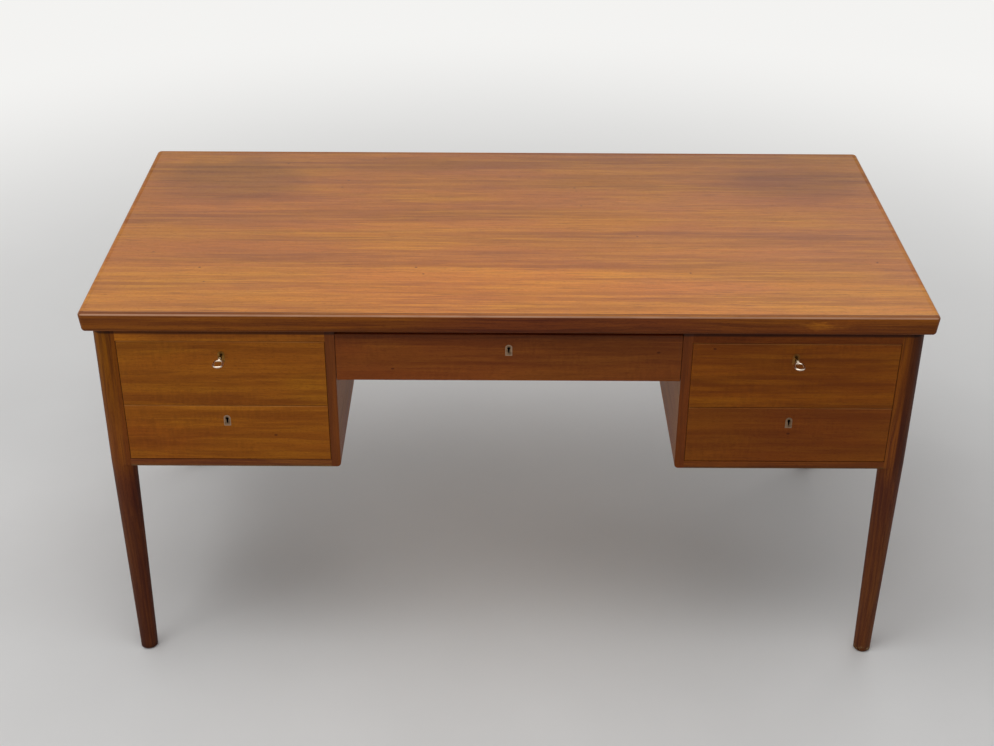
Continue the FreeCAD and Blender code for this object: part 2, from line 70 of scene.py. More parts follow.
class Grain(Enum):
    """The way a board's grain runs: the axis along it, then the two across it."""

    ALONG_X = "XYZ"
    ALONG_Y = "YXZ"
    ALONG_Z = "ZXY"


@dataclass(frozen=True)
class Spots:
    """Scattered spots of noise.

    Attributes:
        lump: The size of the noise's lumps along each axis, in metres.
        start: The noise at which a spot begins.
        full: The noise at which it is full.
        detail: How many finer layers the noise has.
        roughness: How strong the finer layers are.
    """

    lump: Size
    start: float
    full: float
    detail: float = 2.0
    roughness: float = 0.5


@dataclass(frozen=True)
class Fade:
    """A tint that grows along an axis, from a start to an end in metres."""

    axis: str
    start: float
    end: float
    tint: Colour


@dataclass(frozen=True)
class Patch:
    """A soft-edged patch: its middle, its reach along each axis, its tint, strength and raggedness."""

    centre: Size
    reach: Size
    tint: Colour
    share: float = 0.9
    ragged: float = 0.5


class Nodes:
    """A node tree, with short ways to add its nodes and feed their inputs."""

    def __init__(self, tree: bpy.types.NodeTree) -> None:
        """Takes over a tree and empties it."""
        self.tree = tree
        self.tree.nodes.clear()

    def feed(self, node: bpy.types.Node, inputs: Inputs) -> None:
        """Feeds a node's inputs.

        Args:
            node: The node.
            inputs: An output to link or a value to set, by the input's name or number.
        """
        for key, value in inputs.items():
            socket = node.inputs[key]
            if isinstance(value, Socket):
                self.tree.links.new(value, socket)
            elif socket.type == "RGBA":
                socket.default_value = (*value, 1.0)
            else:
                socket.default_value = value

    def add(self, kind: str, inputs: Optional[Inputs] = None, **settings: object) -> bpy.types.Node:
        """Adds a node.

        Args:
            kind: The node's type.
            inputs: What feeds its inputs.
            settings: Its settings, which are made before the inputs are fed.

        Returns:
            The new node.
        """
        node = self.tree.nodes.new(kind)
        for setting, value in settings.items():
            setattr(node, setting, value)
        self.feed(node, inputs or {})
        return node

    def math(self, operation: str, *values: Value) -> Socket:
        """Returns the result of one sum on numbers."""
        return self.add("ShaderNodeMath", dict(enumerate(values)), operation=operation).outputs["Value"]

    def join(self, *parts: Value) -> Socket:
        """Returns the vector that has these parts."""
        return self.add("ShaderNodeCombineXYZ", dict(enumerate(parts))).outputs["Vector"]


class Sheet(Nodes):
    """The node tree of one finish, built up layer by layer on Object coordinates."""

    def __init__(self, name: str) -> None:
        """Starts a finish with a bare shader.

        Args:
            name: The finish's name.
        """
        self.material = bpy.data.materials.new(name)
        self.material.use_nodes = True
        super().__init__(self.material.node_tree)
        self.shader = self.add("ShaderNodeBsdfPrincipled")
        self.output = self.add("ShaderNodeOutputMaterial", {"Surface": self.shader.outputs["BSDF"]})
        self.at = self.add("ShaderNodeTexCoord").outputs["Object"]
        self.parts = self.add("ShaderNodeSeparateXYZ", {"Vector": self.at}).outputs
        self.colour: Tint = PLAIN

    def vector(self, operation: str, *values: Union[Socket, Size]) -> Socket:
        """Returns the result of one sum on vectors."""
        node = self.add("ShaderNodeVectorMath", dict(enumerate(values)), operation=operation)
        return node.outputs["Vector"]

    def length(self, value: Socket) -> Socket:
        """Returns a vector's length."""
        return self.add("ShaderNodeVectorMath", {0: value}, operation="LENGTH").outputs["Value"]

    def squares(self, first: Socket, second: Socket) -> Socket:
        """Returns the sum of two numbers' squares."""
        return self.math("MULTIPLY_ADD", first, first, self.math("MULTIPLY", second, second))

    def past(self, axis: str, place: float) -> Socket:
        """Returns how far a point lies past a place along an axis."""
        return self.math("SUBTRACT", self.parts[axis], place)

    def before(self, axis: str, place: float) -> Socket:
        """Returns how far a point lies before a place along an axis."""
        return self.math("SUBTRACT", place, self.parts[axis])

    def edge_gap(self, node: str, axes: str) -> Socket:
        """Works out how far a point is from the nearest edge of a CAD node's box.

        Args:
            node: The CAD node.
            axes: The axes along which the edges count.

        Returns:
            The gap in metres.
        """
        gaps = []
        for axis in axes:
            low, high = (corner["XYZ".index(axis)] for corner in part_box(node))
            gaps += [self.past(axis, low), self.before(axis, high)]
        return reduce(lambda nearest, gap: self.math("MINIMUM", nearest, gap), gaps)

    def noise(self, place: Socket, lump: Size, detail: float = 2.0, roughness: float = 0.5) -> Socket:
        """Returns smooth noise from 0 to 1 on some coordinates, with lumps of a size in metres."""
        inputs = {"Vector": self.vector("DIVIDE", place, lump), "Scale": 1.0, "Detail": detail,
                  "Roughness": roughness}
        return self.add("ShaderNodeTexNoise", inputs).outputs["Fac"]

    def rise(self, value: Value, start: float, end: float, low: float = 0.0, high: Value = 1.0) -> Socket:
        """Returns a soft step, low where the value is at the start and high where it is at the end."""
        inputs = {"Value": value, "From Min": start, "From Max": end, "To Min": low, "To Max": high}
        return self.add("ShaderNodeMapRange", inputs, interpolation_type="SMOOTHSTEP").outputs["Result"]

    def spots(self, place: Socket, spots: Spots, low: float = 0.0, high: float = 1.0) -> Socket:
        """Returns scattered spots on some coordinates, low between them and high in them."""
        noise = self.noise(place, spots.lump, spots.detail, spots.roughness)
        return self.rise(noise, spots.start, spots.full, low, high)

    def blend(self, share: Value, first: Tint, second: Tint, mode: str = "MIX") -> Socket:
        """Returns two colours blended, with a share of the second one over the first."""
        inputs = {"Factor": share, "A": first, "B": second}
        return self.add("ShaderNodeMix", inputs, data_type="RGBA", blend_type=mode).outputs["Result"]

    def times(self, colour: Tint, factor: Union[Value, Colour]) -> Socket:
        """Returns a colour made lighter or darker by a factor."""
        return self.blend(1.0, colour, factor, "MULTIPLY")

    def paint(self, amount: Value, colour: Tint) -> None:
        """Lays an amount of a colour over the layers so far."""
        self.colour = self.blend(amount, self.colour, colour)

    def shade(self, factor: Union[Value, Colour]) -> None:
        """Makes the layers so far lighter or darker by a factor."""
        self.colour = self.times(self.colour, factor)

    def stain(self, amount: Value, tint: Colour) -> None:
        """Shades the layers so far by a tint, to an amount."""
        self.paint(amount, self.times(self.colour, tint))

    def emboss(self, height: Socket, strength: float, depth: float) -> None:
        """Gives the surface a fine relief of a strength and a depth in metres."""
        bump = self.add("ShaderNodeBump", {"Strength": strength, "Distance": depth, "Height": height})
        self.feed(self.shader, {"Normal": bump.outputs["Normal"]})

    def finish(self) -> bpy.types.Material:
        """Gives the shader the colour of all layers and returns the material."""
        self.feed(self.shader, {"Base Color": self.colour})
        return self.material


@dataclass(frozen=True)
class Wood:
    """A wood: its colours, the sizes of its grain in metres, and how strongly each part of it shows."""

    light: Colour
    dark: Colour
    golden: Colour
    line: Colour
    pore: Colour
    band: Size = (0.75, 0.034, 0.034)
    streak: Size = (0.26, 0.0062, 0.0062)
    fine_line: Size = (0.16, 0.0017, 0.0017)
    pores: Size = (0.0065, 0.00042, 0.00042)
    sway: float = 0.02
    band_share: float = 0.8
    golden_share: float = 0.45
    line_share: float = 0.5
    pore_share: float = 0.55
    ribbon_share: float = 0.0
    redder: Colour = (0.95, 0.88, 0.97)
    yellower: Colour = (1.05, 1.12, 0.98)
    roughness: float = 0.42
    gloss: float = 0.4


class WoodSheet(Sheet):
    """A wooden finish: grain first, then fading, painted shade, wear, painted highlights and marks on top of
    it.
    """

    # How the sizes of a wood's grain become spots: their start, full value, detail and roughness.
    BAND = (0.38, 0.62, 4.0, 0.62)
    STREAK = (0.44, 0.62, 4.0, 0.62)
    LINE = (0.5, 0.66, 3.0, 0.65)
    PORE = (0.58, 0.7, 1.0)
    # What is the same in every wood.
    SWING: Size = (0.42, 0.13, 0.13)
    ELSEWHERE: Size = (3.1, 1.7, 2.3)
    FIBRE: Size = (0.03, 0.0006, 0.0006)
    FIBRE_ROUGHNESS = 0.6
    FIBRE_STEP: Pair = (0.3, 0.7)
    FIBRE_SHARE = 0.07
    MOTTLE: Size = (0.3, 0.075, 0.075)
    MOTTLE_DETAIL = 3.0
    MOTTLE_STEP: Pair = (0.35, 0.65)
    MOTTLE_SPREAD = 0.2
    PORE_SPREAD = 0.16
    PORE_HEIGHT = -0.7
    BUMP = 0.25
    BUMP_DEPTH = 0.0005
    RIBBON = Spots((0.0058, 0.024, 0.024), 0.36, 0.64, 3.0, 0.6)
    RIBBON_FIELD = Spots((0.11, 0.05, 0.05), 0.46, 0.6)
    UNEVEN_ARRIS = Spots((0.09, 0.09, 0.09), 0.36, 0.62, 3.0)
    PATCH_LUMP = 0.35
    PATCH_FULL = 0.35
    JOINT_FULL = 0.4

    def __init__(self, name: str, wood: Wood, grain: Grain, cut: Size, tone: Colour = PLAIN) -> None:
        """Starts a wooden finish.

        Args:
            name: The finish's name.
            wood: The wood it is made of.
            grain: The way the grain runs.
            cut: Where in the log the board was cut.
            tone: The board's own tone, as a factor on its colour.
        """
        super().__init__(name)
        self.wood = wood
        self.cut = cut
        self.tone = tone
        self.place = self.along(grain)

    def along(self, grain: Grain) -> Socket:
        """Returns coordinates whose X runs along the grain."""
        return self.join(*(self.parts[axis] for axis in grain.value))

    def turn_grain(self, where: Socket, grain: Grain) -> None:
        """Turns the grain another way where the mask is one."""
        inputs = {"Factor": where, "A": self.place, "B": self.along(grain)}
        self.place = self.add("ShaderNodeMix", inputs, data_type="VECTOR").outputs["Result"]

    def grow(self) -> None:
        """Lays the bands, streaks, lines, fibres and pores of the wood."""
        wood = self.wood
        moved = self.vector("ADD", self.place, self.cut)
        swing = self.math("SUBTRACT", self.noise(moved, self.SWING), 0.5)
        sway = (self.math("MULTIPLY", swing, wood.sway), self.math("MULTIPLY", swing, -wood.sway))
        swayed = self.vector("ADD", moved, self.join(0.0, *sway))
        other = self.vector("ADD", swayed, self.ELSEWHERE)
        fibre = self.noise(moved, self.FIBRE, roughness=self.FIBRE_ROUGHNESS)
        mottle = self.noise(other, self.MOTTLE, self.MOTTLE_DETAIL)
        pore = self.spots(moved, Spots(wood.pores, *self.PORE))
        layers = (
            (self.spots(swayed, Spots(wood.band, *self.BAND)), wood.band_share, wood.dark),
            (self.spots(swayed, Spots(wood.streak, *self.STREAK)), wood.golden_share, wood.golden),
            (self.spots(other, Spots(wood.fine_line, *self.LINE)), wood.line_share, wood.line),
            (pore, wood.pore_share, wood.pore),
        )
        self.colour = wood.light
        for spots, share, colour in layers:
            self.paint(self.math("MULTIPLY", spots, share), colour)
        self.shade(self.rise(fibre, *self.FIBRE_STEP, 1.0 - self.FIBRE_SHARE, 1.0 + self.FIBRE_SHARE))
        self.shade(self.blend(self.rise(mottle, *self.MOTTLE_STEP), wood.redder, wood.yellower))
        if wood.ribbon_share:
            self.shade(self.ribbons(other, wood.ribbon_share))
        self.shade(self.tone)
        smooth = wood.roughness - self.MOTTLE_SPREAD / 2
        rough = self.math("MULTIPLY_ADD", pore, self.PORE_SPREAD, smooth)
        rough = self.math("MULTIPLY_ADD", mottle, self.MOTTLE_SPREAD, rough)
        self.feed(self.shader, {"Roughness": rough, "Specular IOR Level": wood.gloss})
        self.emboss(self.math("MULTIPLY_ADD", pore, self.PORE_HEIGHT, fibre), self.BUMP, self.BUMP_DEPTH)

    def ribbons(self, place: Socket, share: float) -> Socket:
        """Returns a factor on the colour: faint upright ribbons across the grain, in scattered fields."""
        ribbon = self.spots(place, self.RIBBON, -share, share)
        return self.math("MULTIPLY_ADD", ribbon, self.spots(place, self.RIBBON_FIELD), 1.0)

    def fade(self, fade: Fade, origin: float = 0.0, share: Value = 1.0) -> None:
        """Tints the wood more and more along an axis, measured from an origin on it, up to a share."""
        start, end = origin + fade.start, origin + fade.end
        self.stain(self.rise(self.parts[fade.axis], start, end, 0.0, share), fade.tint)

    def patch(self, patch: Patch, origin: Size = NO_SHIFT) -> None:
        """Tints a soft-edged patch.

        Args:
            patch: The patch.
            origin: Where its middle is measured from.
        """
        centre = tuple(start + part for start, part in zip(origin, patch.centre))
        away = self.length(self.vector("DIVIDE", self.vector("SUBTRACT", self.at, centre), patch.reach))
        lump = tuple(self.PATCH_LUMP * part for part in patch.reach)
        uneven = self.math("MULTIPLY_ADD", self.noise(self.at, lump), patch.ragged, -patch.ragged / 2)
        outline = self.math("ADD", away, uneven)
        self.stain(self.rise(outline, 1.0, self.PATCH_FULL, 0.0, patch.share), patch.tint)

    def wear_and_highlight(self, gap: Socket, width: float, worn: Colour, share: float, least: float = 0.35) -> None:
        """Pales an arris within a width of it, as wear or as a painted highlight, by a share that sinks to
        its least part in places.
        """
        uneven = self.spots(self.at, self.UNEVEN_ARRIS, least)
        self.paint(self.math("MULTIPLY", self.rise(gap, width, 0.0, 0.0, share), uneven), worn)

    def dark_line(self, gap: Socket, width: float, share: float) -> None:
        """Draws a thin dark joint of some strength where a gap is under a width."""
        self.stain(self.rise(gap, width, width * self.JOINT_FULL, 0.0, share), JOINT_AND_SHADE_DARK)


@dataclass(frozen=True)
class Metal:
    """A metal: its bright and its tarnished colour, and how its surface was left."""

    bright: Colour
    tarnish: Colour
    tarnish_share: float
    roughness: float
    rough_spread: float = 0.22
    clouds: Spots = Spots((0.007, 0.007, 0.007), 0.38, 0.66, 4.0, 0.62)
    specks: Spots = Spots((0.0016, 0.0016, 0.0016), 0.56, 0.7, 3.0)
    brushing: Size = (0.012, 0.0004, 0.0004)
    tarnish_height: float = -0.6
    bump: float = 0.12
    bump_depth: float = 0.0002

    def sheet(self, name: str, cut: Size = NO_SHIFT) -> Sheet:
        """Builds the metal's finish.

        Args:
            name: The finish's name.
            cut: Where its pattern starts.

        Returns:
            The finish, open to more layers.
        """
        sheet = Sheet(name)
        place = sheet.vector("ADD", sheet.at, cut)
        dull = sheet.math("MAXIMUM", sheet.spots(place, self.clouds), sheet.spots(place, self.specks))
        sheet.colour = self.bright
        sheet.paint(sheet.math("MULTIPLY", dull, self.tarnish_share), self.tarnish)
        rough = sheet.math("MULTIPLY_ADD", dull, self.rough_spread, self.roughness)
        sheet.feed(sheet.shader, {"Roughness": rough, "Metallic": 1.0})
        brushed = sheet.noise(place, self.brushing)
        relief = sheet.math("MULTIPLY_ADD", dull, self.tarnish_height, brushed)
        sheet.emboss(relief, self.bump, self.bump_depth)
        return sheet


TOP_TEAK = Wood(light=(0.55, 0.182, 0.0235), dark=(0.345, 0.106, 0.0155), golden=(0.67, 0.262, 0.031),
                line=(0.23, 0.067, 0.011), pore=(0.21, 0.06, 0.013), band=(1.1, 0.06, 0.06),
                streak=(0.36, 0.012, 0.012), fine_line=(0.085, 0.0022, 0.0022), sway=0.012,
                golden_share=0.5, line_share=0.42, roughness=0.42, gloss=0.34)
FRONT_TEAK = Wood(light=(0.37, 0.112, 0.006), dark=(0.225, 0.06, 0.0038), golden=(0.47, 0.162, 0.0085),
                  line=(0.16, 0.039, 0.0034), pore=(0.13, 0.031, 0.0034), band=(0.6, 0.028, 0.028),
                  streak=(0.26, 0.011, 0.011), fine_line=(0.11, 0.0016, 0.0016), golden_share=0.55,
                  line_share=0.3, ribbon_share=0.06, roughness=0.5, gloss=0.09)
SOLID_TEAK = Wood(light=(0.24, 0.07, 0.006), dark=(0.12, 0.029, 0.0045), golden=(0.33, 0.105, 0.008),
                  line=(0.08, 0.019, 0.0045), pore=(0.06, 0.015, 0.004), band=(0.4, 0.014, 0.014),
                  roughness=0.5, gloss=0.1)
LEG_TEAK = Wood(light=(0.2, 0.056, 0.006), dark=(0.105, 0.025, 0.005), golden=(0.28, 0.085, 0.007),
                line=(0.07, 0.017, 0.0045), pore=(0.055, 0.014, 0.0045), band=(0.4, 0.012, 0.012),
                streak=(0.2, 0.005, 0.005), roughness=0.52, gloss=0.08)
PANEL_TEAK = Wood(light=(0.25, 0.1, 0.04), dark=(0.165, 0.062, 0.026), golden=(0.3, 0.122, 0.045),
                  line=(0.12, 0.043, 0.02), pore=(0.1, 0.035, 0.016), roughness=0.5, gloss=0.14)
SIDE_TEAK = Wood(light=(0.36, 0.116, 0.016), dark=(0.225, 0.064, 0.01), golden=(0.45, 0.158, 0.02),
                 line=(0.16, 0.044, 0.008), pore=(0.13, 0.036, 0.008), band=(0.7, 0.03, 0.03),
                 streak=(0.28, 0.011, 0.011), line_share=0.36, ribbon_share=0.04, roughness=0.48, gloss=0.2)
BEECH = Wood(light=(0.63, 0.395, 0.215), dark=(0.54, 0.305, 0.15), golden=(0.67, 0.43, 0.24),
             line=(0.46, 0.255, 0.12), pore=(0.36, 0.19, 0.09), pores=(0.0028, 0.0005, 0.0005),
             pore_share=0.45, band_share=0.6, redder=(0.97, 0.94, 0.94), yellower=(1.03, 1.03, 1.0),
             roughness=0.55, gloss=0.3)
PLYWOOD = Wood(light=(0.66, 0.455, 0.265), dark=(0.56, 0.355, 0.19), golden=(0.7, 0.49, 0.3),
               line=(0.49, 0.3, 0.16), pore=(0.42, 0.25, 0.13), band=(0.5, 0.06, 0.06), sway=0.05,
               pore_share=0.3, redder=(0.97, 0.94, 0.94), yellower=(1.03, 1.03, 1.0), roughness=0.6,
               gloss=0.25)

PLATE_BRASS = Metal(bright=(0.22, 0.14, 0.085), tarnish=(0.12, 0.072, 0.04), tarnish_share=0.85,
                    roughness=0.46)
BOLT_BRASS = Metal(bright=(0.68, 0.49, 0.22), tarnish=(0.34, 0.22, 0.1), tarnish_share=0.55, roughness=0.28)
LOCK_STEEL = Metal(bright=(0.5, 0.49, 0.47), tarnish=(0.25, 0.22, 0.19), tarnish_share=0.6, roughness=0.36)
KEY_NICKEL = Metal(bright=(0.73, 0.62, 0.51), tarnish=(0.42, 0.33, 0.26), tarnish_share=0.5, roughness=0.2,
                   rough_spread=0.2)
SCREW_CUT: Size = (0.3, 0.3, 0.3)
WORN_RIM: Colour = (0.33, 0.225, 0.15)
DULL_SHANK: Colour = (0.25, 0.18, 0.09)
# Near-black painted shade inside keyhole bores.
KEYHOLE_SHADE: Colour = (0.006, 0.004, 0.003)
# A dark tint for joint lines and for painted shade.
JOINT_AND_SHADE_DARK: Colour = (0.24, 0.2, 0.26)
# Painted shade (a contact shadow) in the corner under the top board, measured from the wood's upper end.
CORNER_SHADE = Fade("Z", -0.0138, -0.0098, JOINT_AND_SHADE_DARK)


def dress(node: str, material: bpy.types.Material) -> None:
    """Gives a CAD node its finish.

    Args:
        node: The CAD node.
        material: The finish.
    """
    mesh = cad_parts[node].data
    mesh.materials.clear()
    mesh.materials.append(material)
    log.info("dressed %s with %s", node, material.name)


def dress_plain(node: str, wood: Wood, grain: Grain, cut: Size, tone: Colour = PLAIN) -> None:
    """Dresses a CAD node in wood that shows nothing but its grain.

    Args:
        node: The CAD node.
        wood: The wood.
        grain: The way the grain runs.
        cut: Where in the log the board was cut.
        tone: The board's own tone.
    """
    sheet = WoodSheet(node + "_wood", wood, grain, cut, tone)
    sheet.grow()
    dress(node, sheet.finish())


def add_piece(name: str, mesh: bpy.types.Mesh, body: str) -> bpy.types.Object:
    """Adds a finished mesh to the desk.

    Args:
        name: The piece's name.
        mesh: Its mesh, with its place in it.
        body: The body it moves with.

    Returns:
        The new object.
    """
    mesh.name = name
    piece = bpy.data.objects.new(name, mesh)
    bpy.context.collection.objects.link(piece)
    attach(piece, body)
    log.info("added %s on %s, %d faces", name, body, len(mesh.polygons))
    return piece


def hoop(centre: Vector, first: Vector, second: Vector, steps: int) -> list[Vector]:
    """Returns points round a circle, from its middle and two radii at right angles."""
    angles = [2 * math.pi * step / steps for step in range(steps)]
    return [centre + first * math.cos(angle) + second * math.sin(angle) for angle in angles]


def skin(shape: bmesh.types.BMesh, rings: list[list[Vector]], closed: bool) -> list[list[bmesh.types.BMVert]]:
    """Lays faces over rings of points.

    Args:
        shape: The mesh being made.
        rings: The rings, all with the same count of points.
        closed: Whether the last ring meets the first.

    Returns:
        The rings' corners in the mesh.
    """
    corners = [[shape.verts.new(point) for point in ring] for ring in rings]
    after_each = corners[1:] + corners[:1] if closed else corners[1:]
    for first, second in zip(corners, after_each):
        for index in range(len(first)):
            after = (index + 1) % len(first)
            shape.faces.new((first[index], first[after], second[after], second[index]))
    return corners


def smooth_mesh(shape: bmesh.types.BMesh, name: str) -> bpy.types.Mesh:
    """Turns a shape into a smooth mesh.

    Args:
        shape: The shape, which is used up.
        name: The mesh's name.

    Returns:
        The mesh, with its faces turned outwards.
    """
    bmesh.ops.recalc_face_normals(shape, faces=shape.faces)
    for face in shape.faces:
        face.smooth = True
    mesh = bpy.data.meshes.new(name)
    shape.to_mesh(mesh)
    shape.free()
    return mesh


@dataclass(frozen=True)
class Lamp:
    """A soft lamp: where it hangs, what it points at, its width and height, and its power in watts."""

    name: str
    place: Size
    target: Size
    size: Pair
    power: float

    def hang(self) -> None:
        """Hangs the lamp."""
        lamp = bpy.data.lights.new(self.name, "AREA")
        lamp.shape = "RECTANGLE"
        lamp.size, lamp.size_y = self.size
        lamp.energy = self.power
        holder = bpy.data.objects.new(self.name, lamp)
        holder.location = self.place
        aim = Vector(self.target) - Vector(self.place)
        holder.rotation_euler = aim.to_track_quat("-Z", "Y").to_euler()
        bpy.context.collection.objects.link(holder)


@dataclass
class Studio:
    """The pale floor, the soft lamps, the world and the camera."""

    lamps: tuple[Lamp, ...] = (
        Lamp("overhead_lamp", (-0.5, -0.7, 3.1), (0.0, 0.0, 0.7), (2.6, 1.8), 40.0),
        Lamp("front_left_lamp", (-2.6, -2.6, 1.7), (-0.2, -0.3, 0.5), (1.8, 1.8), 16.0),
        Lamp("back_lamp", (1.7, 2.4, 3.3), (0.0, 0.2, 0.5), (2.2, 1.4), 13.0),
    )
    image_width: int = 994
    focal_pixels: float = 1543.80
    sensor_width: float = 36.0
    camera_place: Size = (-0.02318, -2.53787, 1.89517)
    yaw: float = -0.10213
    pitch: float = -30.21410
    roll: float = 0.31501
    view_end: float = 100.0
    floor_half: float = 20.0
    floor_colour: Colour = (0.82, 0.82, 0.815)
    floor_clouds: Spots = Spots((0.5, 0.5, 0.5), 0.2, 0.8, 4.0)
    cloud_share: float = 0.03
    floor_roughness: float = 0.8
    floor_gloss: float = 0.2
    backdrop: Colour = (0.9, 0.895, 0.88)
    fade_start: float = 0.8
    fade_end: float = 3.4
    sky: float = 0.32

    def build(self) -> None:
        """Sets up the whole studio."""
        bpy.context.scene.view_settings.view_transform = "Standard"
        self.make_floor()
        self.make_world()
        for lamp in self.lamps:
            lamp.hang()
        self.make_camera()

    def make_floor(self) -> None:
        """Lays a plain pale floor that goes over into the backdrop's colour far away."""
        half = self.floor_half
        mesh = bpy.data.meshes.new("floor")
        mesh.from_pydata([(-half, -half, 0.0), (half, -half, 0.0), (half, half, 0.0), (-half, half, 0.0)],
                         [], [(0, 1, 2, 3)])
        mesh.materials.append(self.floor_paint())
        floor = bpy.data.objects.new("floor", mesh)
        bpy.context.collection.objects.link(floor)

    def floor_paint(self) -> bpy.types.Material:
        """Makes the floor's finish: matt and slightly clouded near the desk, plain backdrop far from it.

        Returns:
            The material.
        """
        sheet = Sheet("pale_floor")
        sheet.colour = self.floor_colour
        sheet.shade(sheet.spots(sheet.at, self.floor_clouds, 1.0 - self.cloud_share, 1.0 + self.cloud_share))
        sheet.feed(sheet.shader, {"Roughness": self.floor_roughness, "Specular IOR Level": self.floor_gloss})
        glow = sheet.add("ShaderNodeEmission", {"Color": self.backdrop}).outputs["Emission"]
        away = sheet.rise(sheet.length(sheet.at), self.fade_start, self.fade_end)
        both = sheet.add("ShaderNodeMixShader", {0: away, 1: sheet.shader.outputs["BSDF"], 2: glow})
        sheet.feed(sheet.output, {"Surface": both.outputs["Shader"]})
        return sheet.finish()

    def make_world(self) -> None:
        """Lights the desk evenly and shows the backdrop's colour behind it."""
        world = bpy.data.worlds.new("soft_sky")
        bpy.context.scene.world = world
        world.use_nodes = True
        sky = Nodes(world.node_tree)
        rays = sky.add("ShaderNodeLightPath").outputs
        seen = sky.math("MAXIMUM", rays["Is Camera Ray"], rays["Is Glossy Ray"])
        seen = sky.math("MAXIMUM", seen, rays["Is Transmission Ray"])
        light = sky.add("ShaderNodeBackground", {"Color": PLAIN, "Strength": self.sky}).outputs["Background"]
        backdrop = sky.add("ShaderNodeBackground", {"Color": self.backdrop}).outputs["Background"]
        both = sky.add("ShaderNodeMixShader", {0: seen, 1: light, 2: backdrop})
        sky.add("ShaderNodeOutputWorld", {"Surface": both.outputs["Shader"]})

    def make_camera(self) -> None:
        """Sets the camera where the photograph was taken from."""
        camera = bpy.data.cameras.new("camera")
        camera.sensor_fit = "HORIZONTAL"
        camera.sensor_width = self.sensor_width
        camera.lens = self.focal_pixels / self.image_width * self.sensor_width
        camera.clip_end = self.view_end
        upright = Matrix(((1.0, 0.0, 0.0), (0.0, 0.0, -1.0), (0.0, 1.0, 0.0)))
        turn = (Matrix.Rotation(math.radians(self.roll), 3, "Z")
                @ Matrix.Rotation(math.radians(-self.pitch), 3, "X")
                @ Matrix.Rotation(math.radians(self.yaw), 3, "Y") @ upright)
        lens_down = Matrix.Diagonal((1.0, -1.0, -1.0))
        holder = bpy.data.objects.new("camera", camera)
        holder.matrix_world = Matrix.Translation(self.camera_place) @ (turn.transposed() @ lens_down).to_4x4()
        bpy.context.collection.objects.link(holder)
        bpy.context.scene.camera = holder


@dataclass(frozen=True)
class Screw:
    """A slotted screw: its head's radius, how far it stands proud, and its slot's width."""

    radius: float
    proud: float
    slot: float


LOCK_SCREW = Screw(0.0023, 0.0009, 0.0007)
RUNNER_SCREW = Screw(0.0021, 0.0003, 0.0006)


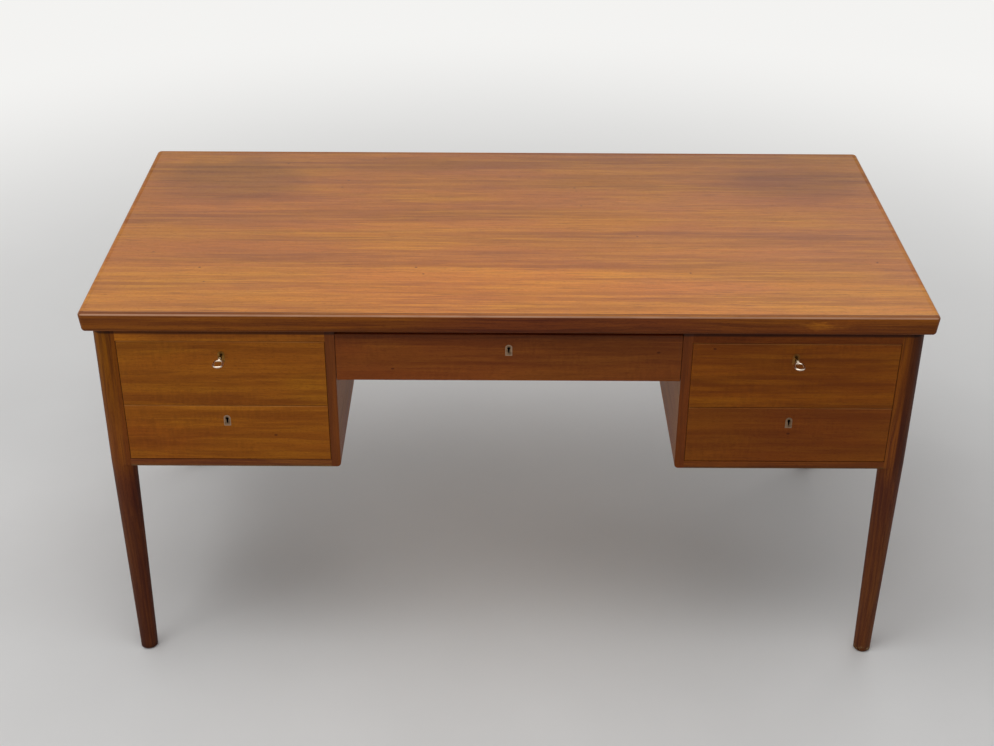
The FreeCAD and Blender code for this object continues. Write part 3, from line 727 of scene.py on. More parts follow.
class ScrewPattern(Nodes):
    """A Geometry Nodes tree that sets a slotted screw head on each point of a mesh."""

    FACING = "facing"
    SIZES = ("Head Radius", "Head Height", "Slot Width")
    SEED = 7
    SIDES = 16
    TAPER = 0.78
    BLADE_LENGTH = 3.0

    def __init__(self, material: bpy.types.Material) -> None:
        """Builds the tree.

        Args:
            material: The screws' finish.
        """
        super().__init__(bpy.data.node_groups.new("slotted_screws", "GeometryNodeTree"))
        sockets = self.tree.interface
        sockets.new_socket("Points", in_out="INPUT", socket_type="NodeSocketGeometry")
        self.sizes = [sockets.new_socket(name, in_out="INPUT", socket_type="NodeSocketFloat").identifier
                      for name in self.SIZES]
        sockets.new_socket("Screws", in_out="OUTPUT", socket_type="NodeSocketGeometry")
        self.wire(material)

    def make_head(self, radius: Socket, height: Socket, slot: Socket) -> Socket:
        """Makes one head: a low truncated cone with a slot cut across it.

        Args:
            radius: The head's radius.
            height: Its height.
            slot: Its slot's width.

        Returns:
            The head's geometry.
        """
        top = self.math("MULTIPLY", radius, self.TAPER)
        head = self.add("GeometryNodeMeshCone", {"Vertices": self.SIDES, "Radius Bottom": radius,
                                                 "Radius Top": top, "Depth": height})
        blade_size = self.join(self.math("MULTIPLY", radius, self.BLADE_LENGTH), slot, height)
        blade = self.add("GeometryNodeMeshCube", {"Size": blade_size})
        raised = self.add("GeometryNodeTransform", {"Geometry": blade.outputs["Mesh"],
                                                    "Translation": self.join(0.0, 0.0, height)})
        cut = self.add("GeometryNodeMeshBoolean", {"Mesh 1": head.outputs["Mesh"],
                                                   "Mesh 2": raised.outputs["Geometry"]},
                       operation="DIFFERENCE")
        return cut.outputs["Mesh"]

    def wire(self, material: bpy.types.Material) -> None:
        """Sets the heads on the points, each facing its own way and with its slot at its own angle.

        Args:
            material: The screws' finish.
        """
        start = self.add("NodeGroupInput").outputs
        facing = self.add("GeometryNodeInputNamedAttribute", {"Name": self.FACING}, data_type="FLOAT_VECTOR")
        aim = self.add("FunctionNodeAlignRotationToVector", {"Vector": facing.outputs["Attribute"]}, axis="Z")
        head = self.make_head(*(start[name] for name in self.SIZES))
        spread = self.add("GeometryNodeInstanceOnPoints", {"Points": start["Points"], "Instance": head,
                                                           "Rotation": aim.outputs["Rotation"]})
        angle = self.add("FunctionNodeRandomValue", {"Min": 0.0, "Max": math.pi, "Seed": self.SEED},
                         data_type="FLOAT")
        spin = self.join(0.0, 0.0, angle.outputs["Value"])
        turned = self.add("GeometryNodeRotateInstances", {"Instances": spread.outputs["Instances"],
                                                          "Rotation": spin})
        real = self.add("GeometryNodeRealizeInstances", {"Geometry": turned.outputs["Instances"]})
        finish = self.add("GeometryNodeSetMaterial", {"Geometry": real.outputs["Geometry"],
                                                      "Material": material})
        self.add("NodeGroupOutput", {"Screws": finish.outputs["Geometry"]})

    def screws(self, seats: list[Seat], screw: Screw) -> bpy.types.Mesh:
        """Makes the mesh of a set of screws.

        Args:
            seats: Where each head sits, and the way it faces.
            screw: The kind of screw.

        Returns:
            A plain mesh.
        """
        points, facings = zip(*seats)
        seed = bpy.data.meshes.new("screw_points")
        seed.from_pydata(points, [], [])
        attribute = seed.attributes.new(self.FACING, "FLOAT_VECTOR", "POINT")
        for item, facing in zip(attribute.data, facings):
            item.vector = facing
        holder = bpy.data.objects.new("screw_points", seed)
        bpy.context.collection.objects.link(holder)
        pattern = holder.modifiers.new("screws", "NODES")
        pattern.node_group = self.tree
        for identifier, value in zip(self.sizes, astuple(screw)):
            pattern[identifier] = value
        graph = bpy.context.evaluated_depsgraph_get()
        mesh = bpy.data.meshes.new_from_object(holder.evaluated_get(graph))
        holder.modifiers.clear()
        bpy.data.objects.remove(holder)
        bpy.data.meshes.remove(seed)
        return mesh


@dataclass
class Worktop:
    """The veneered top board and its mitred lipping."""

    # Broad tone patches; the darker ones at the back corners are partly patina and partly painted falloff of
    # the light.
    tone_patches: tuple[Patch, ...] = (
        Patch((-0.52, 0.22, 0.72), (0.2, 0.15, 0.1), (0.67, 0.65, 0.82)),
        Patch((0.555, 0.215, 0.72), (0.2, 0.15, 0.1), (0.74, 0.67, 0.74)),
        Patch((-0.6, -0.17, 0.72), (0.42, 0.34, 0.1), (0.86, 0.87, 0.92)),
        Patch((0.02, -0.3, 0.72), (0.5, 0.24, 0.1), (1.11, 1.11, 1.06)),
    )
    veneer_cut: Size = (0.3, 0.1, 0.0)
    # Lighter at the front and darker towards the back, partly as patina and partly as painted falloff of the
    # light.
    front_tone: Colour = (1.08, 1.08, 1.0)
    front_fade: Fade = Fade("Y", 0.0, 0.4, (0.833, 0.815, 0.92))
    back_fade_start: float = 0.3
    back_tint: Colour = (0.84, 0.855, 0.93)
    stroke: Spots = Spots((0.055, 0.0045, 0.0045), 0.58, 0.72)
    dark_stroke: Colour = (0.78, 0.76, 0.78)
    dark_stroke_shift: Size = (1.9, 0.4, 0.0)
    pale_stroke: Colour = (1.14, 1.14, 1.1)
    pale_stroke_shift: Size = (5.3, 2.6, 0.0)
    scratch: Spots = Spots((0.06, 0.0009, 0.0009), 0.7, 0.8, 1.0)
    scratch_field: Spots = Spots((0.2, 0.15, 0.15), 0.55, 0.68)
    scratch_turn: float = 24.0
    scratch_colour: Colour = (0.62, 0.36, 0.17)
    scratch_share: float = 0.4
    speck_pitch: float = 0.06
    speck_step: Pair = (0.05, 0.02)
    speck_colour: Colour = (0.09, 0.03, 0.015)
    speck_share: float = 0.8
    strip_width: float = 0.01
    strip_cut: Size = (0.7, 0.2, 0.4)
    strip_tone: Colour = (0.86, 0.76, 0.55)
    strip_veneer_tint: Colour = (1.04, 1.15, 2.2)
    front_strip_tint: Colour = (0.5, 0.44, 0.5)
    veneer_step: Pair = (0.0011, 0.0003)
    dark_figure: Patch = Patch((0.12, 0.0, 0.0), (0.36, 0.05, 0.06), (0.72, 0.64, 1.8))
    golden_figures: tuple[tuple[float, Size], ...] = (
        (0.49, (0.034, 0.012, 0.0075)),
        (0.507, (0.026, 0.012, 0.012)),
        (0.532, (0.03, 0.012, 0.006)),
    )
    golden_tint: Colour = (1.6, 1.9, 1.5)
    golden_share: float = 0.65
    golden_ragged: float = 1.3
    lower_shade: Fade = Fade("Z", 0.011, 0.003, (0.72, 0.7, 0.85))
    arris_middle: float = 0.0019
    arris_reach: float = 0.0014
    arris_share: float = 0.8
    arris_least: float = 0.75
    arris_highlight: Colour = (0.5, 0.27, 0.16)
    joint_width: float = 0.0012
    board_joint_share: float = 0.8
    strip_joint_share: float = 0.7
    mitre_width: float = 0.0005
    mitre_share: float = 0.4
    upper_round: float = 0.0045
    lower_round: float = 0.0062
    lean: float = 0.004
    corner_round: float = 0.0096
    round_steps: int = 7
    corner_steps: int = 10

    def build(self) -> None:
        """Dresses the board and lays the moulded lipping round it in place of its plain solid."""
        self.dress_board()
        mesh = self.moulding()
        mesh.materials.append(self.lipping())
        piece = add_piece("moulded_lipping", mesh, "carcase")
        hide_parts("top_lipping")

    def lay_veneer(self, sheet: WoodSheet) -> None:
        """Grows the veneer: golden and lighter at the front, redder and darker towards the back and in its
        back corners, partly as patina and partly as painted falloff of the light, with a few more broad tone
        patches.

        Args:
            sheet: The finish that gets the veneer.
        """
        front, back = (corner[1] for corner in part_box("desk_top"))
        sheet.grow()
        sheet.shade(self.front_tone)
        sheet.fade(self.front_fade, front)
        sheet.fade(Fade("Y", front + self.back_fade_start, back, self.back_tint))
        for patch in self.tone_patches:
            sheet.patch(patch)
        for shift, tint in ((self.dark_stroke_shift, self.dark_stroke),
                            (self.pale_stroke_shift, self.pale_stroke)):
            sheet.stain(sheet.spots(sheet.vector("ADD", sheet.place, shift), self.stroke), tint)
        self.add_scratches(sheet)

    def add_scratches(self, sheet: WoodSheet) -> None:
        """Adds fine pale scratches at an angle to the grain, and tiny dark pin specks.

        Args:
            sheet: The finish that gets them.
        """
        turn = (0.0, 0.0, math.radians(self.scratch_turn))
        turned = sheet.add("ShaderNodeMapping", {"Vector": sheet.at, "Rotation": turn}).outputs["Vector"]
        scratch = sheet.spots(turned, self.scratch, 0.0, self.scratch_share)
        here = sheet.spots(sheet.at, self.scratch_field)
        sheet.paint(sheet.math("MULTIPLY", scratch, here), self.scratch_colour)
        cells = sheet.add("ShaderNodeTexVoronoi", {"Vector": sheet.at, "Scale": 1.0 / self.speck_pitch})
        speck = sheet.rise(cells.outputs["Distance"], *self.speck_step, 0.0, self.speck_share)
        sheet.paint(speck, self.speck_colour)

    def dress_board(self) -> None:
        """Dresses the board in veneer, with a thin dark joint along its front edge."""
        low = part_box("desk_top")[0]
        sheet = WoodSheet("top_veneer", TOP_TEAK, Grain.ALONG_X, self.veneer_cut)
        self.lay_veneer(sheet)
        sheet.dark_line(sheet.past("Y", low[1]), self.joint_width, self.board_joint_share)
        dress("desk_top", sheet.finish())

    def lipping(self) -> bpy.types.Material:
        """Makes the strips' finish: veneer runs out over their tops, faces are darker with painted shade on
        their lower rounding, the arris painted pale as a highlight.

        Returns:
            The material.
        """
        low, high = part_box("top_lipping")
        sheet = WoodSheet("lipping_wood", TOP_TEAK, Grain.ALONG_X, self.veneer_cut)
        self.lay_veneer(sheet)
        sheet.shade(self.strip_veneer_tint)
        veneer = sheet.colour
        to_end = sheet.edge_gap("top_lipping", "X")
        to_front = sheet.edge_gap("top_lipping", "Y")
        sheet.wood = SOLID_TEAK
        sheet.cut = self.strip_cut
        sheet.tone = self.strip_tone
        sheet.turn_grain(sheet.math("LESS_THAN", to_end, to_front), Grain.ALONG_Y)
        sheet.grow()
        self.mark_front(sheet, (0.0, low[1], (low[2] + high[2]) / 2))
        # Painted shade on the fascia's lower rounding, which faces away from the light.
        sheet.fade(self.lower_shade, low[2])
        from_top = sheet.before("Z", high[2])
        from_front = sheet.past("Y", low[1])
        in_front = sheet.math("LESS_THAN", from_front, self.strip_width)
        veneer = sheet.blend(in_front, veneer, sheet.times(veneer, self.front_strip_tint))
        sheet.paint(sheet.rise(from_top, *self.veneer_step), veneer)
        # Painted highlight along the upper rounded arris, where its rounding catches the light.
        to_arris = sheet.math("MAXIMUM", from_top, sheet.math("MINIMUM", to_end, to_front))
        from_arris = sheet.math("SUBTRACT", to_arris, self.arris_middle)
        sheet.wear_and_highlight(from_arris, self.arris_reach, self.arris_highlight, self.arris_share, self.arris_least)
        joint = sheet.math("ABSOLUTE", sheet.math("SUBTRACT", from_front, self.strip_width))
        sheet.dark_line(joint, self.joint_width, self.strip_joint_share)
        mitre = sheet.math("ABSOLUTE", sheet.math("SUBTRACT", to_end, to_front))
        sheet.dark_line(mitre, self.mitre_width, self.mitre_share)
        return sheet.finish()

    def mark_front(self, sheet: WoodSheet, middle: Size) -> None:
        """Marks the front strip with a long dark figure and a few small golden ones.

        Args:
            sheet: The strips' finish.
            middle: The middle of the front strip's face.
        """
        sheet.patch(self.dark_figure, middle)
        for place, reach in self.golden_figures:
            figure = Patch((place, 0.0, 0.0), reach, self.golden_tint, self.golden_share, self.golden_ragged)
            sheet.patch(figure, middle)

    def section(self, low: float, high: float) -> list[Pair]:
        """Draws the strip's section, as distances in from the edge and heights.

        Args:
            low: The strip's underside.
            high: Its upper side.

        Returns:
            The points of the section, from the joint over the top and round to the underside.
        """
        tilt = math.atan2(self.lean, high - low)
        upper = self.upper_round / math.tan(math.pi / 4 - tilt / 2)
        lower = self.lower_round / math.tan(math.pi / 4 + tilt / 2)
        quarter = math.pi / 2
        arcs = ((upper, high - self.upper_round, self.upper_round, quarter, quarter + tilt),
                (self.lean + lower, low + self.lower_round, self.lower_round, -tilt, quarter - tilt))
        points = [(self.strip_width, high)]
        for inset, height, radius, start, sweep in arcs:
            for step in range(self.round_steps + 1):
                angle = start - sweep * step / self.round_steps
                points.append((inset - radius * math.cos(angle), height + radius * math.sin(angle)))
        points.append((self.strip_width, low))
        return points

    def moulding(self) -> bpy.types.Mesh:
        """Sweeps the section round the board, with its four corners softened.

        Returns:
            The strips' mesh.
        """
        board_low, board_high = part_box("desk_top")
        out_x = board_high[0] + self.strip_width
        middle = (board_low[1] + board_high[1]) / 2
        out_y = (board_high[1] - board_low[1]) / 2 + self.strip_width
        section = self.section(board_low[2], board_high[2])
        rings = []
        for corner in range(4):
            way_x = 1.0 if corner in (0, 3) else -1.0
            way_y = 1.0 if corner in (0, 1) else -1.0
            for step in range(self.corner_steps + 1):
                angle = math.pi / 2 * (corner + step / self.corner_steps)
                ring = []
                for inset, height in section:
                    round_left = max(self.corner_round - inset, 0.0)
                    kept = max(self.corner_round, inset)
                    x = way_x * (out_x - kept) + round_left * math.cos(angle)
                    y = middle + way_y * (out_y - kept) + round_left * math.sin(angle)
                    ring.append(Vector((x, y, height)))
                rings.append(ring)
        shape = bmesh.new()
        skin(shape, rings, closed=True)
        bmesh.ops.remove_doubles(shape, verts=shape.verts, dist=MERGE_GAP)
        return smooth_mesh(shape, "moulded_lipping")


@dataclass
class Legs:
    """The four round tapered legs with their square stiles."""

    tones: tuple[tuple[str, Colour], ...] = (
        ("front_left_leg", PLAIN),
        ("front_right_leg", (1.12, 1.12, 1.15)),
        ("back_left_leg", (0.95, 0.95, 1.0)),
        ("back_right_leg", (0.92, 0.9, 1.0)),
    )
    first_cut: Size = (0.1, 0.0, 0.3)
    cut_pitch: float = 0.37
    lower: Fade = Fade("Z", 0.03, -0.05, (0.54, 0.5, 1.35))
    left_stile: Fade = Fade("Z", 0.02, 0.2, (1.0, 1.02, 0.2))
    left_inside: Fade = Fade("X", -0.016, -0.008, (0.88, 0.78, 0.7))
    left_outer_shade: Fade = Fade("X", 0.007, 0.0, (0.7, 0.68, 0.9))
    right_stile: Fade = Fade("Z", 0.02, 0.2, (0.88, 0.83, 0.4))
    right_round_shade: Fade = Fade("X", 0.002, 0.006, (0.38, 0.33, 0.8))
    round_depth: float = 0.0265
    round_step: Pair = (-0.05, 0.01)
    right_foot: Fade = Fade("Z", 0.3, 0.05, (1.22, 1.34, 1.28))
    chip: Spots = Spots((0.005, 0.005, 0.003), 0.52, 0.62)
    chip_step: Pair = (0.016, 0.008)
    chip_colour: Colour = (0.34, 0.22, 0.1)
    foot: Fade = Fade("Z", 0.016, 0.0, (0.6, 0.58, 0.5))

    def dress(self) -> None:
        """Dresses each leg in wood cut from its own place in the log."""
        for index, (name, tone) in enumerate(self.tones):
            self.dress_leg(name, tone, self.cut_pitch * index)

    def dress_leg(self, name: str, tone: Colour, shift: float) -> None:
        """Dresses a leg: golden up at the pedestal, darker and redder below, darkest at the foot.

        Args:
            name: The leg's node.
            tone: Its own tone.
            shift: How far from the first leg it was cut in the log.
        """
        low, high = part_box(name)
        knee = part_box("left_bottom")[0][2]
        cut = (self.first_cut[0] + shift, self.first_cut[1] + shift, self.first_cut[2])
        sheet = WoodSheet(name + "_wood", LEG_TEAK, Grain.ALONG_Z, cut, tone)
        sheet.grow()
        sheet.fade(self.lower, knee)
        if name.endswith("left_leg"):
            sheet.fade(self.left_stile, knee)
            sheet.fade(self.left_inside, high[0])
            # Painted shade on the outer round, where it turns away from the light.
            sheet.fade(self.left_outer_shade, low[0])
        else:
            sheet.fade(self.right_stile, knee)
        if name == "front_right_leg":
            self.shade_and_wear_right(sheet, high[0] - self.round_depth, knee)
        sheet.fade(self.foot)
        # Painted shade under the top board at the leg's upper end.
        sheet.fade(CORNER_SHADE, high[2])
        dress(name, sheet.finish())

    def shade_and_wear_right(self, sheet: WoodSheet, round_start: float, knee: float) -> None:
        """Paints shade on the round beside the right drawers, where it turns away from the light, and knocks
        small pale chips out of a paler foot.

        Args:
            sheet: The front right leg's finish.
            round_start: Where along X its round begins.
            knee: The height of the pedestal's underside.
        """
        start, end = (knee + step for step in self.round_step)
        sheet.fade(self.right_round_shade, round_start, sheet.rise(sheet.parts["Z"], start, end))
        sheet.fade(self.right_foot)
        here = sheet.rise(sheet.parts["Z"], *self.chip_step)
        sheet.paint(sheet.math("MULTIPLY", sheet.spots(sheet.at, self.chip), here), self.chip_colour)


@dataclass
class Pedestal:
    """One pedestal's fixed boards and rails. The cuts are places in the log."""

    side: str
    cut: float
    rail_tone: Colour
    edge_tone: Colour
    bottom_tone: Colour
    rail_end: Optional[Fade] = None
    outer_cut: Pair = (0.0, 0.2)
    inner_cut: Pair = (0.5, 0.2)
    back_cut: Pair = (0.8, 0.1)
    back_tone: Colour = (0.95, 0.94, 1.0)
    divider_cut: Pair = (0.2, 0.1)
    divider_tone: Colour = (0.9, 0.88, 0.85)
    bottom_cut: Pair = (1.1, 0.1)
    rail_cut: Pair = (0.7, 0.5)
    edge_strip: float = 0.004
    shaded_lower_arris: Fade = Fade("Z", 0.0055, 0.0, (0.62, 1.03, 2.1))

    def dress(self) -> None:
        """Dresses every board of the pedestal."""
        self.dress_panel("outer_side", SIDE_TEAK, self.outer_cut)
        self.dress_panel("inner_side", PANEL_TEAK, self.inner_cut)
        for part, wood, cut, tone in (("back", SIDE_TEAK, self.back_cut, self.back_tone),
                                      ("divider_rail", BEECH, self.divider_cut, self.divider_tone)):
            dress_plain(f"{self.side}_{part}", wood, Grain.ALONG_X, (self.cut, *cut), tone)
        self.dress_bottom()
        self.dress_rail()

    def dress_panel(self, part: str, wood: Wood, cut: Pair) -> None:
        """Dresses a side panel: grain from front to back, with an upright strip glued on its front edge.

        Args:
            part: The panel.
            wood: Its wood.
            cut: Where in the log it was cut.
        """
        node = f"{self.side}_{part}"
        low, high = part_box(node)
        sheet = WoodSheet(node + "_wood", wood, Grain.ALONG_Y, (self.cut, *cut))
        strip_end = low[1] + self.edge_strip
        sheet.turn_grain(sheet.math("LESS_THAN", sheet.parts["Y"], strip_end), Grain.ALONG_Z)
        sheet.grow()
        sheet.fade(Fade("Y", strip_end, low[1], self.edge_tone))
        # Painted shade under the top board along the panel's upper edge.
        sheet.fade(CORNER_SHADE, high[2])
        dress(node, sheet.finish())

    def dress_bottom(self) -> None:
        """Dresses the bottom board, with painted shade along the lower arris of its edge."""
        node = f"{self.side}_bottom"
        cut = (self.cut, *self.bottom_cut)
        sheet = WoodSheet(node + "_wood", SOLID_TEAK, Grain.ALONG_X, cut, self.bottom_tone)
        sheet.grow()
        # Painted shade along the lower arris, which faces down away from the light.
        sheet.fade(self.shaded_lower_arris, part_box(node)[0][2])
        dress(node, sheet.finish())

    def dress_rail(self) -> None:
        """Dresses the rail above the drawers, with its own tone."""
        node = f"{self.side}_top_rail"
        low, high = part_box(node)
        cut = (self.cut, *self.rail_cut)
        sheet = WoodSheet(node + "_wood", FRONT_TEAK, Grain.ALONG_X, cut, self.rail_tone)
        sheet.grow()
        if self.rail_end:
            sheet.fade(self.rail_end, low[0])
        # Painted shade under the top board along the rail's upper edge.
        sheet.fade(CORNER_SHADE, high[2])
        dress(node, sheet.finish())


@dataclass
class CentreRails:
    """The rail above the centre drawer and the one at the back of the knee space."""

    front_cut: Size = (0.2, 0.0, 0.3)
    # The front rail is toned darker as painted shade of the gap it sits back in.
    front_tone: Colour = (0.6, 0.55, 0.7)
    back_cut: Size = (0.2, 0.6, 0.3)

    def dress(self) -> None:
        """Dresses both rails."""
        dress_plain("centre_rail", SIDE_TEAK, Grain.ALONG_X, self.front_cut, self.front_tone)
        dress_plain("knee_back_rail", SIDE_TEAK, Grain.ALONG_X, self.back_cut)


@dataclass
class Runners:
    """The beech strips of one bay, on which its drawers hang in one or two rows."""

    bay: str
    cut: Size
    rows: int
    tone: Colour = (0.95, 0.93, 0.9)
    strip_depth: float = 0.007
    strip_height: float = 0.009
    screw_places: tuple[float, ...] = (0.06, 0.5, 0.94)

    def dress(self) -> None:
        """Dresses the strips, with their grain to the back."""
        dress_plain(f"{self.bay}_runners", BEECH, Grain.ALONG_Y, self.cut, self.tone)

    def screw_seats(self) -> list[Seat]:
        """Works out where the strips are screwed on.

        Returns:
            Where each screw sits, and the way it faces.
        """
        low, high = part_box(f"{self.bay}_runners")
        half = self.strip_height / 2
        heights = (low[2] + half, high[2] - half)[:self.rows]
        faces = ((low[0] + self.strip_depth, 1.0), (high[0] - self.strip_depth, -1.0))
        return [((face, low[1] + share * (high[1] - low[1]), height), (way, 0.0, 0.0))
                for height in heights for face, way in faces for share in self.screw_places]


@dataclass
class Key:
    """A key: a ring bow of round wire, a turned shank with a collar, and a plain bit.

    The tip is given as shares of its length before the end, and of the shank's radius there.
    """

    drawer: str
    body: str
    bow_length: float = 0.025
    wire_radius: float = 0.0017
    shank_radius: float = 0.0022
    collar_radius: float = 0.003
    collar_length: float = 0.003
    collar_steps: int = 6
    tip_length: float = 0.00075
    tip: tuple[Pair, ...] = ((1.0, 1.0), (1 / 3, 0.85), (0.0, 0.6), (0.0, 0.0))
    dull_reach: float = 0.004
    bit_length: float = 0.008
    bit_width: float = 0.004
    bit_thickness: float = 0.002
    bit_inset: float = 0.00225
    bit_bevel: float = 0.0003
    ring_steps: int = 56
    wire_steps: int = 14
    turn_steps: int = 28

    def __post_init__(self) -> None:
        """Reads the key's place and size off its plain solid."""
        low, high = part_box(f"{self.drawer}_key")
        self.middle = Vector(((low[0] + high[0]) / 2, low[1], (low[2] + high[2]) / 2))
        self.half_width = (high[0] - low[0]) / 2
        self.reach = high[1] - low[1]

    def build(self) -> None:
        """Makes the key in place of its plain solid."""
        node = f"{self.drawer}_key"
        shape = bmesh.new()
        self.make_bow(shape)
        self.make_shank(shape)
        self.make_bit(shape)
        mesh = smooth_mesh(shape, node)
        mesh.materials.append(self.finish())
        piece = add_piece(f"{self.drawer}_nickel_key", mesh, self.body)
        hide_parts(node)

    def finish(self) -> bpy.types.Material:
        """Makes the key's nickel, bright on the bow and worn through to dull brass along the shank.

        Returns:
            The material.
        """
        sheet = KEY_NICKEL.sheet(f"{self.drawer}_key_nickel", (self.middle.x, 0.0, 0.0))
        start = self.middle.y + self.bow_length
        dull = sheet.rise(sheet.parts["Y"], start - self.wire_radius, start + self.dull_reach)
        sheet.paint(dull, DULL_SHANK)
        return sheet.finish()

    def make_bow(self, shape: bmesh.types.BMesh) -> None:
        """Sweeps the round wire along the bow.

        Args:
            shape: The key's mesh.
        """
        radius = self.half_width - self.wire_radius
        half_straight = self.bow_length / 2 - self.half_width
        rings = []
        for out in hoop(Vector(), X_AXIS, Y_AXIS, self.ring_steps):
            along = self.bow_length / 2 + (half_straight if out.y > 0 else -half_straight)
            centre = self.middle + radius * out + along * Y_AXIS
            rings.append(hoop(centre, self.wire_radius * out, self.wire_radius * Z_AXIS, self.wire_steps))
        skin(shape, rings, closed=True)

    def make_shank(self, shape: bmesh.types.BMesh) -> None:
        """Turns the shank, with a rounded collar and a rounded tip.

        Args:
            shape: The key's mesh.
        """
        start = self.bow_length - self.wire_radius
        collar = self.bow_length + 2 * self.wire_radius
        bulge = self.collar_radius - self.shank_radius
        profile = [(start, 0.0), (start, self.shank_radius), (collar, self.shank_radius)]
        for step in range(self.collar_steps + 1):
            angle = math.pi * step / self.collar_steps
            along = collar + self.collar_length / 2 * (1 - math.cos(angle))
            profile.append((along, self.shank_radius + bulge * math.sin(angle) ** 0.5))
        profile += [(self.reach - back * self.tip_length, share * self.shank_radius)
                    for back, share in self.tip]
        rings = [hoop(self.middle + along * Y_AXIS, radius * X_AXIS, radius * Z_AXIS, self.turn_steps)
                 for along, radius in profile]
        corners = skin(shape, rings, closed=False)
        bmesh.ops.remove_doubles(shape, verts=corners[0] + corners[-1], dist=MERGE_GAP)

    def make_bit(self, shape: bmesh.types.BMesh) -> None:
        """Makes the bit, with its arrises taken off.

        Args:
            shape: The key's mesh.
        """
        corners = bmesh.ops.create_cube(shape, size=1.0)["verts"]
        centre = self.middle + Vector((-self.bit_length / 2, self.reach - self.bit_inset, 0.0))
        bmesh.ops.scale(shape, vec=(self.bit_length, self.bit_width, self.bit_thickness), verts=corners)
        bmesh.ops.translate(shape, vec=centre, verts=corners)
        edges = list({edge for corner in corners for edge in corner.link_edges})
        bmesh.ops.bevel(shape, geom=edges, offset=self.bit_bevel, segments=2, affect="EDGES")


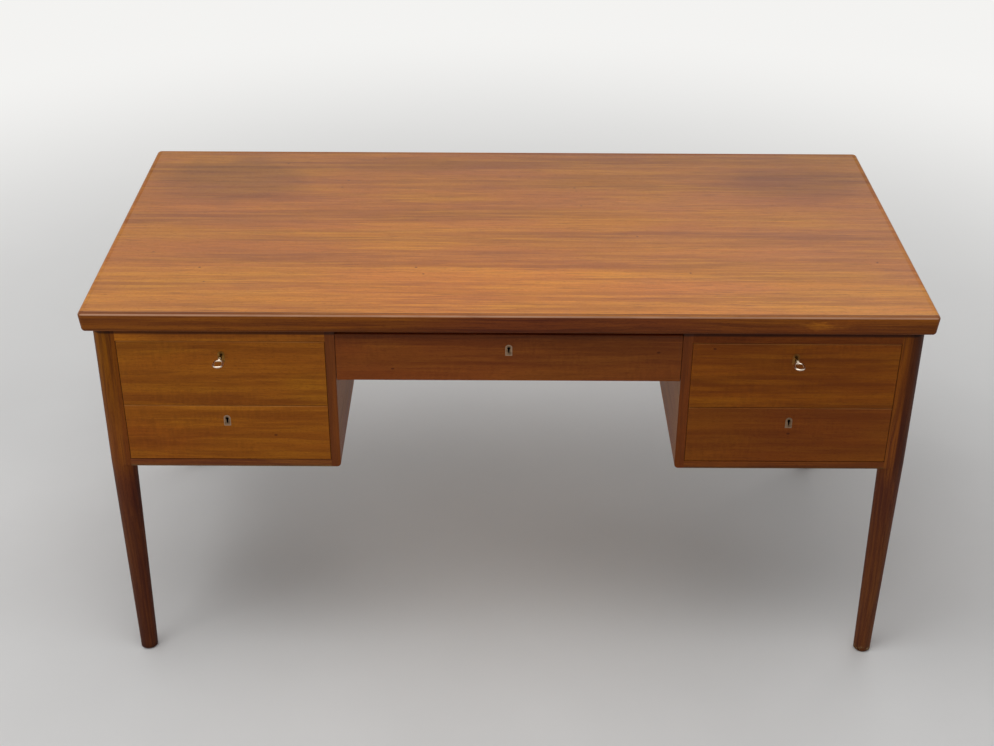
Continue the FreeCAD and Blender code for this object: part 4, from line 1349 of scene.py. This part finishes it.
@dataclass
class Drawer:
    """One drawer: its teak front, beech box, keyhole plate and lock. Knots are given by X and Z."""

    name: str
    tone: Colour
    cut: float
    knots: tuple[Pair, ...] = ()
    keyed: str = ""
    figure: float = 1.0
    log_way: Size = (1.0, 0.3, 0.7)
    knot_reach: Size = (0.0042, 0.006, 0.0024)
    knot_tint: Colour = (0.42, 0.38, 0.48)
    knot_share: float = 0.95
    knot_ragged: float = 0.2
    right_tint: Colour = PLAIN
    right_step: Pair = (-0.05, 0.15)
    top_shade: Optional[Fade] = None
    top_highlight_band: float = 0.001
    top_highlight_full: float = 0.6
    golden_tint: Colour = (1.2, 1.24, 1.6)
    arris_share: float = 0.2
    arris_width: float = 0.0013
    arris_colour: Colour = (0.46, 0.19, 0.05)
    top_arris_highlight_width: float = 0.0022
    top_arris_highlight_colour: Colour = (0.6, 0.29, 0.1)
    plate_cut: Pair = (0.1, 0.2)
    plate_tone: Colour = PLAIN
    plate_thickness: float = 0.0013
    rim_width: float = 0.0026
    rim_share: float = 0.6
    keyhole_drop: float = 0.025
    keyhole_reach: float = 0.016
    box_pitch: Pair = (0.4, 0.2)
    box_depth: float = 0.6
    screw_inset: float = 0.0045

    def build(self, screws: ScrewPattern, metals: dict[str, bpy.types.Material]) -> None:
        """Dresses the drawer and adds its screws and key.

        Args:
            screws: The pattern that makes screws.
            metals: The metal finishes by name.
        """
        self.dress_front()
        self.dress_box()
        self.dress_plate()
        dress(f"{self.name}_lock_case", metals["lock"])
        dress(f"{self.name}_bolt", metals["bolt"])
        self.add_lock_screws(screws)
        if self.keyed:
            Key(self.name, self.keyed).build()

    def dress_front(self) -> None:
        """Dresses the teak front: level streaks, faint upright ribbons, small knots, arrises worn pale, a
        painted highlight along the top edge, painted shadow under the top board where set, and painted shade
        in the keyhole's bore.
        """
        node = f"{self.name}_front"
        low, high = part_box(node)
        middle = (low[0] + high[0]) / 2
        wood = replace(FRONT_TEAK, band_share=self.figure * FRONT_TEAK.band_share,
                       golden_share=self.figure * FRONT_TEAK.golden_share)
        cut = tuple(self.cut * way for way in self.log_way)
        sheet = WoodSheet(node + "_wood", wood, Grain.ALONG_X, cut, self.tone)
        sheet.grow()
        for x, z in self.knots:
            sheet.patch(Patch((x, low[1], z), self.knot_reach, self.knot_tint, self.knot_share,
                              self.knot_ragged))
        sheet.fade(Fade("X", *self.right_step, self.right_tint), middle)
        # Painted shadow under the top board across the front's upper edge.
        if self.top_shade:
            sheet.fade(self.top_shade, high[2])
        # Painted highlight: a lighter band along the front's top edge, where the arris catches the light.
        band = self.top_highlight_band
        sheet.fade(Fade("Z", -band, -self.top_highlight_full * band, self.golden_tint), high[2])
        to_edge = sheet.edge_gap(node, "XZ")
        sheet.wear_and_highlight(to_edge, self.arris_width, self.arris_colour, self.arris_share / 2)
        # Painted highlight along the top arris.
        sheet.wear_and_highlight(sheet.before("Z", high[2]), self.top_arris_highlight_width, self.top_arris_highlight_colour, self.arris_share)
        # Painted shade inside the keyhole's bore, behind the plate.
        from_keyhole = sheet.squares(sheet.past("X", middle), sheet.past("Z", high[2] - self.keyhole_drop))
        near = sheet.math("LESS_THAN", from_keyhole, self.keyhole_reach ** 2)
        inside = sheet.math("GREATER_THAN", sheet.parts["Y"], low[1] + self.plate_thickness)
        sheet.paint(sheet.math("MULTIPLY", near, inside), KEYHOLE_SHADE)
        dress(node, sheet.finish())

    def dress_plate(self) -> None:
        """Dresses the keyhole plate: dull brass, rubbed bright along its arched rim."""
        node = f"{self.name}_keyhole_plate"
        low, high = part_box(node)
        half = (high[0] - low[0]) / 2
        sheet = PLATE_BRASS.sheet(f"{self.name}_plate_brass", (self.cut, *self.plate_cut))
        across = sheet.past("X", (low[0] + high[0]) / 2)
        above = sheet.math("MAXIMUM", sheet.past("Z", high[2] - half), 0.0)
        to_side = sheet.math("SUBTRACT", half, sheet.math("SQRT", sheet.squares(across, above)))
        to_rim = sheet.math("MINIMUM", to_side, sheet.past("Z", low[2]))
        sheet.paint(sheet.rise(to_rim, self.rim_width, self.rim_width / 3, 0.0, self.rim_share), WORN_RIM)
        sheet.shade(self.plate_tone)
        dress(node, sheet.finish())

    def dress_box(self) -> None:
        """Dresses the box: sides with their grain to the back, a back and a thin bottom."""
        boards = (("sides", BEECH, Grain.ALONG_Y), ("back", BEECH, Grain.ALONG_X),
                  ("bottom", PLYWOOD, Grain.ALONG_X))
        for index, (part, wood, grain) in enumerate(boards):
            cut = (self.cut + self.box_pitch[0] * index, self.box_pitch[1] * index, self.box_depth)
            dress_plain(f"{self.name}_{part}", wood, grain, cut)

    def add_lock_screws(self, screws: ScrewPattern) -> None:
        """Screws the lock case on at its four corners.

        Args:
            screws: The pattern that makes screws.
        """
        low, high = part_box(f"{self.name}_lock_case")
        inset = self.screw_inset
        seats = [((x, high[1], z), (0.0, 1.0, 0.0)) for x in (low[0] + inset, high[0] - inset)
                 for z in (low[2] + inset, high[2] - inset)]
        mesh = screws.screws(seats, LOCK_SCREW)
        add_piece(f"{self.name}_lock_screws", mesh, self.name)


def pedestals() -> list[Pedestal]:
    """Returns the two pedestals, each with its own tones."""
    return [
        Pedestal("left", -0.5, rail_tone=(0.85, 0.85, 0.95), edge_tone=(0.67, 0.385, 0.07),
                 bottom_tone=(0.93, 0.9, 1.75), rail_end=Fade("X", 0.09, 0.0, (1.3, 1.35, 1.2))),
        Pedestal("right", 1.3, rail_tone=(0.415, 0.285, 0.25), edge_tone=(0.65, 0.345, 0.02),
                 bottom_tone=(0.76, 0.63, 0.8)),
    ]


def bay_runners() -> list[Runners]:
    """Returns the runners of the three bays."""
    return [Runners("left", (-0.5, 0.3, 0.1), rows=2), Runners("right", (1.3, 0.3, 0.1), rows=2),
            Runners("centre", (0.9, 0.4, 0.2), rows=1)]


def drawers() -> list[Drawer]:
    """Returns the five drawers, each with its own tone and marks."""
    return [
        Drawer("left_upper_drawer", (0.81, 0.835, 0.72), 0.2, keyed="left_key", figure=0.85,
               arris_share=0.25, plate_tone=(1.12, 0.85, 0.3), rim_share=0.15),
        Drawer("left_lower_drawer", (0.83, 0.78, 0.74), 1.3, knots=((-0.3953, 0.4785),), figure=0.8,
               arris_share=0.25, top_highlight_band=0.011, rim_share=0.85),
        Drawer("right_upper_drawer", (0.625, 0.55, 0.3), 2.1, knots=((0.3401, 0.6505),), keyed="right_key",
               plate_tone=(1.02, 0.7, 0.27), rim_share=0.1),
        Drawer("right_lower_drawer", (0.535, 0.445, 0.52), 3.4, knots=((0.4765, 0.4858),), figure=0.6,
               rim_share=0.3),
        Drawer("centre_drawer", (0.56, 0.465, 1.15), 4.2, knots=((0.2475, 0.643), (-0.1926, 0.6102)),
               figure=0.85, arris_share=0.0, rim_share=0.75, right_tint=(0.88, 0.87, 0.92),
               top_shade=Fade("Z", -0.014, -0.001, (0.5, 0.46, 0.6))),
    ]


def main() -> None:
    """Builds the studio and every sub-assembly in order."""
    logging.basicConfig(level=logging.INFO, format="%(name)s: %(message)s")
    Studio().build()
    metals = {"lock": LOCK_STEEL.sheet("lock_steel").finish(),
              "bolt": BOLT_BRASS.sheet("bolt_brass").finish()}
    screws = ScrewPattern(LOCK_STEEL.sheet("screw_steel", SCREW_CUT).finish())
    Worktop().build()
    Legs().dress()
    runners = bay_runners()
    for part in (*pedestals(), CentreRails(), *runners):
        part.dress()
    seats = [seat for strips in runners for seat in strips.screw_seats()]
    add_piece("runner_screws", screws.screws(seats, RUNNER_SCREW), "carcase")
    for drawer in drawers():
        drawer.build(screws, metals)


if __name__ == "__main__":
    main()
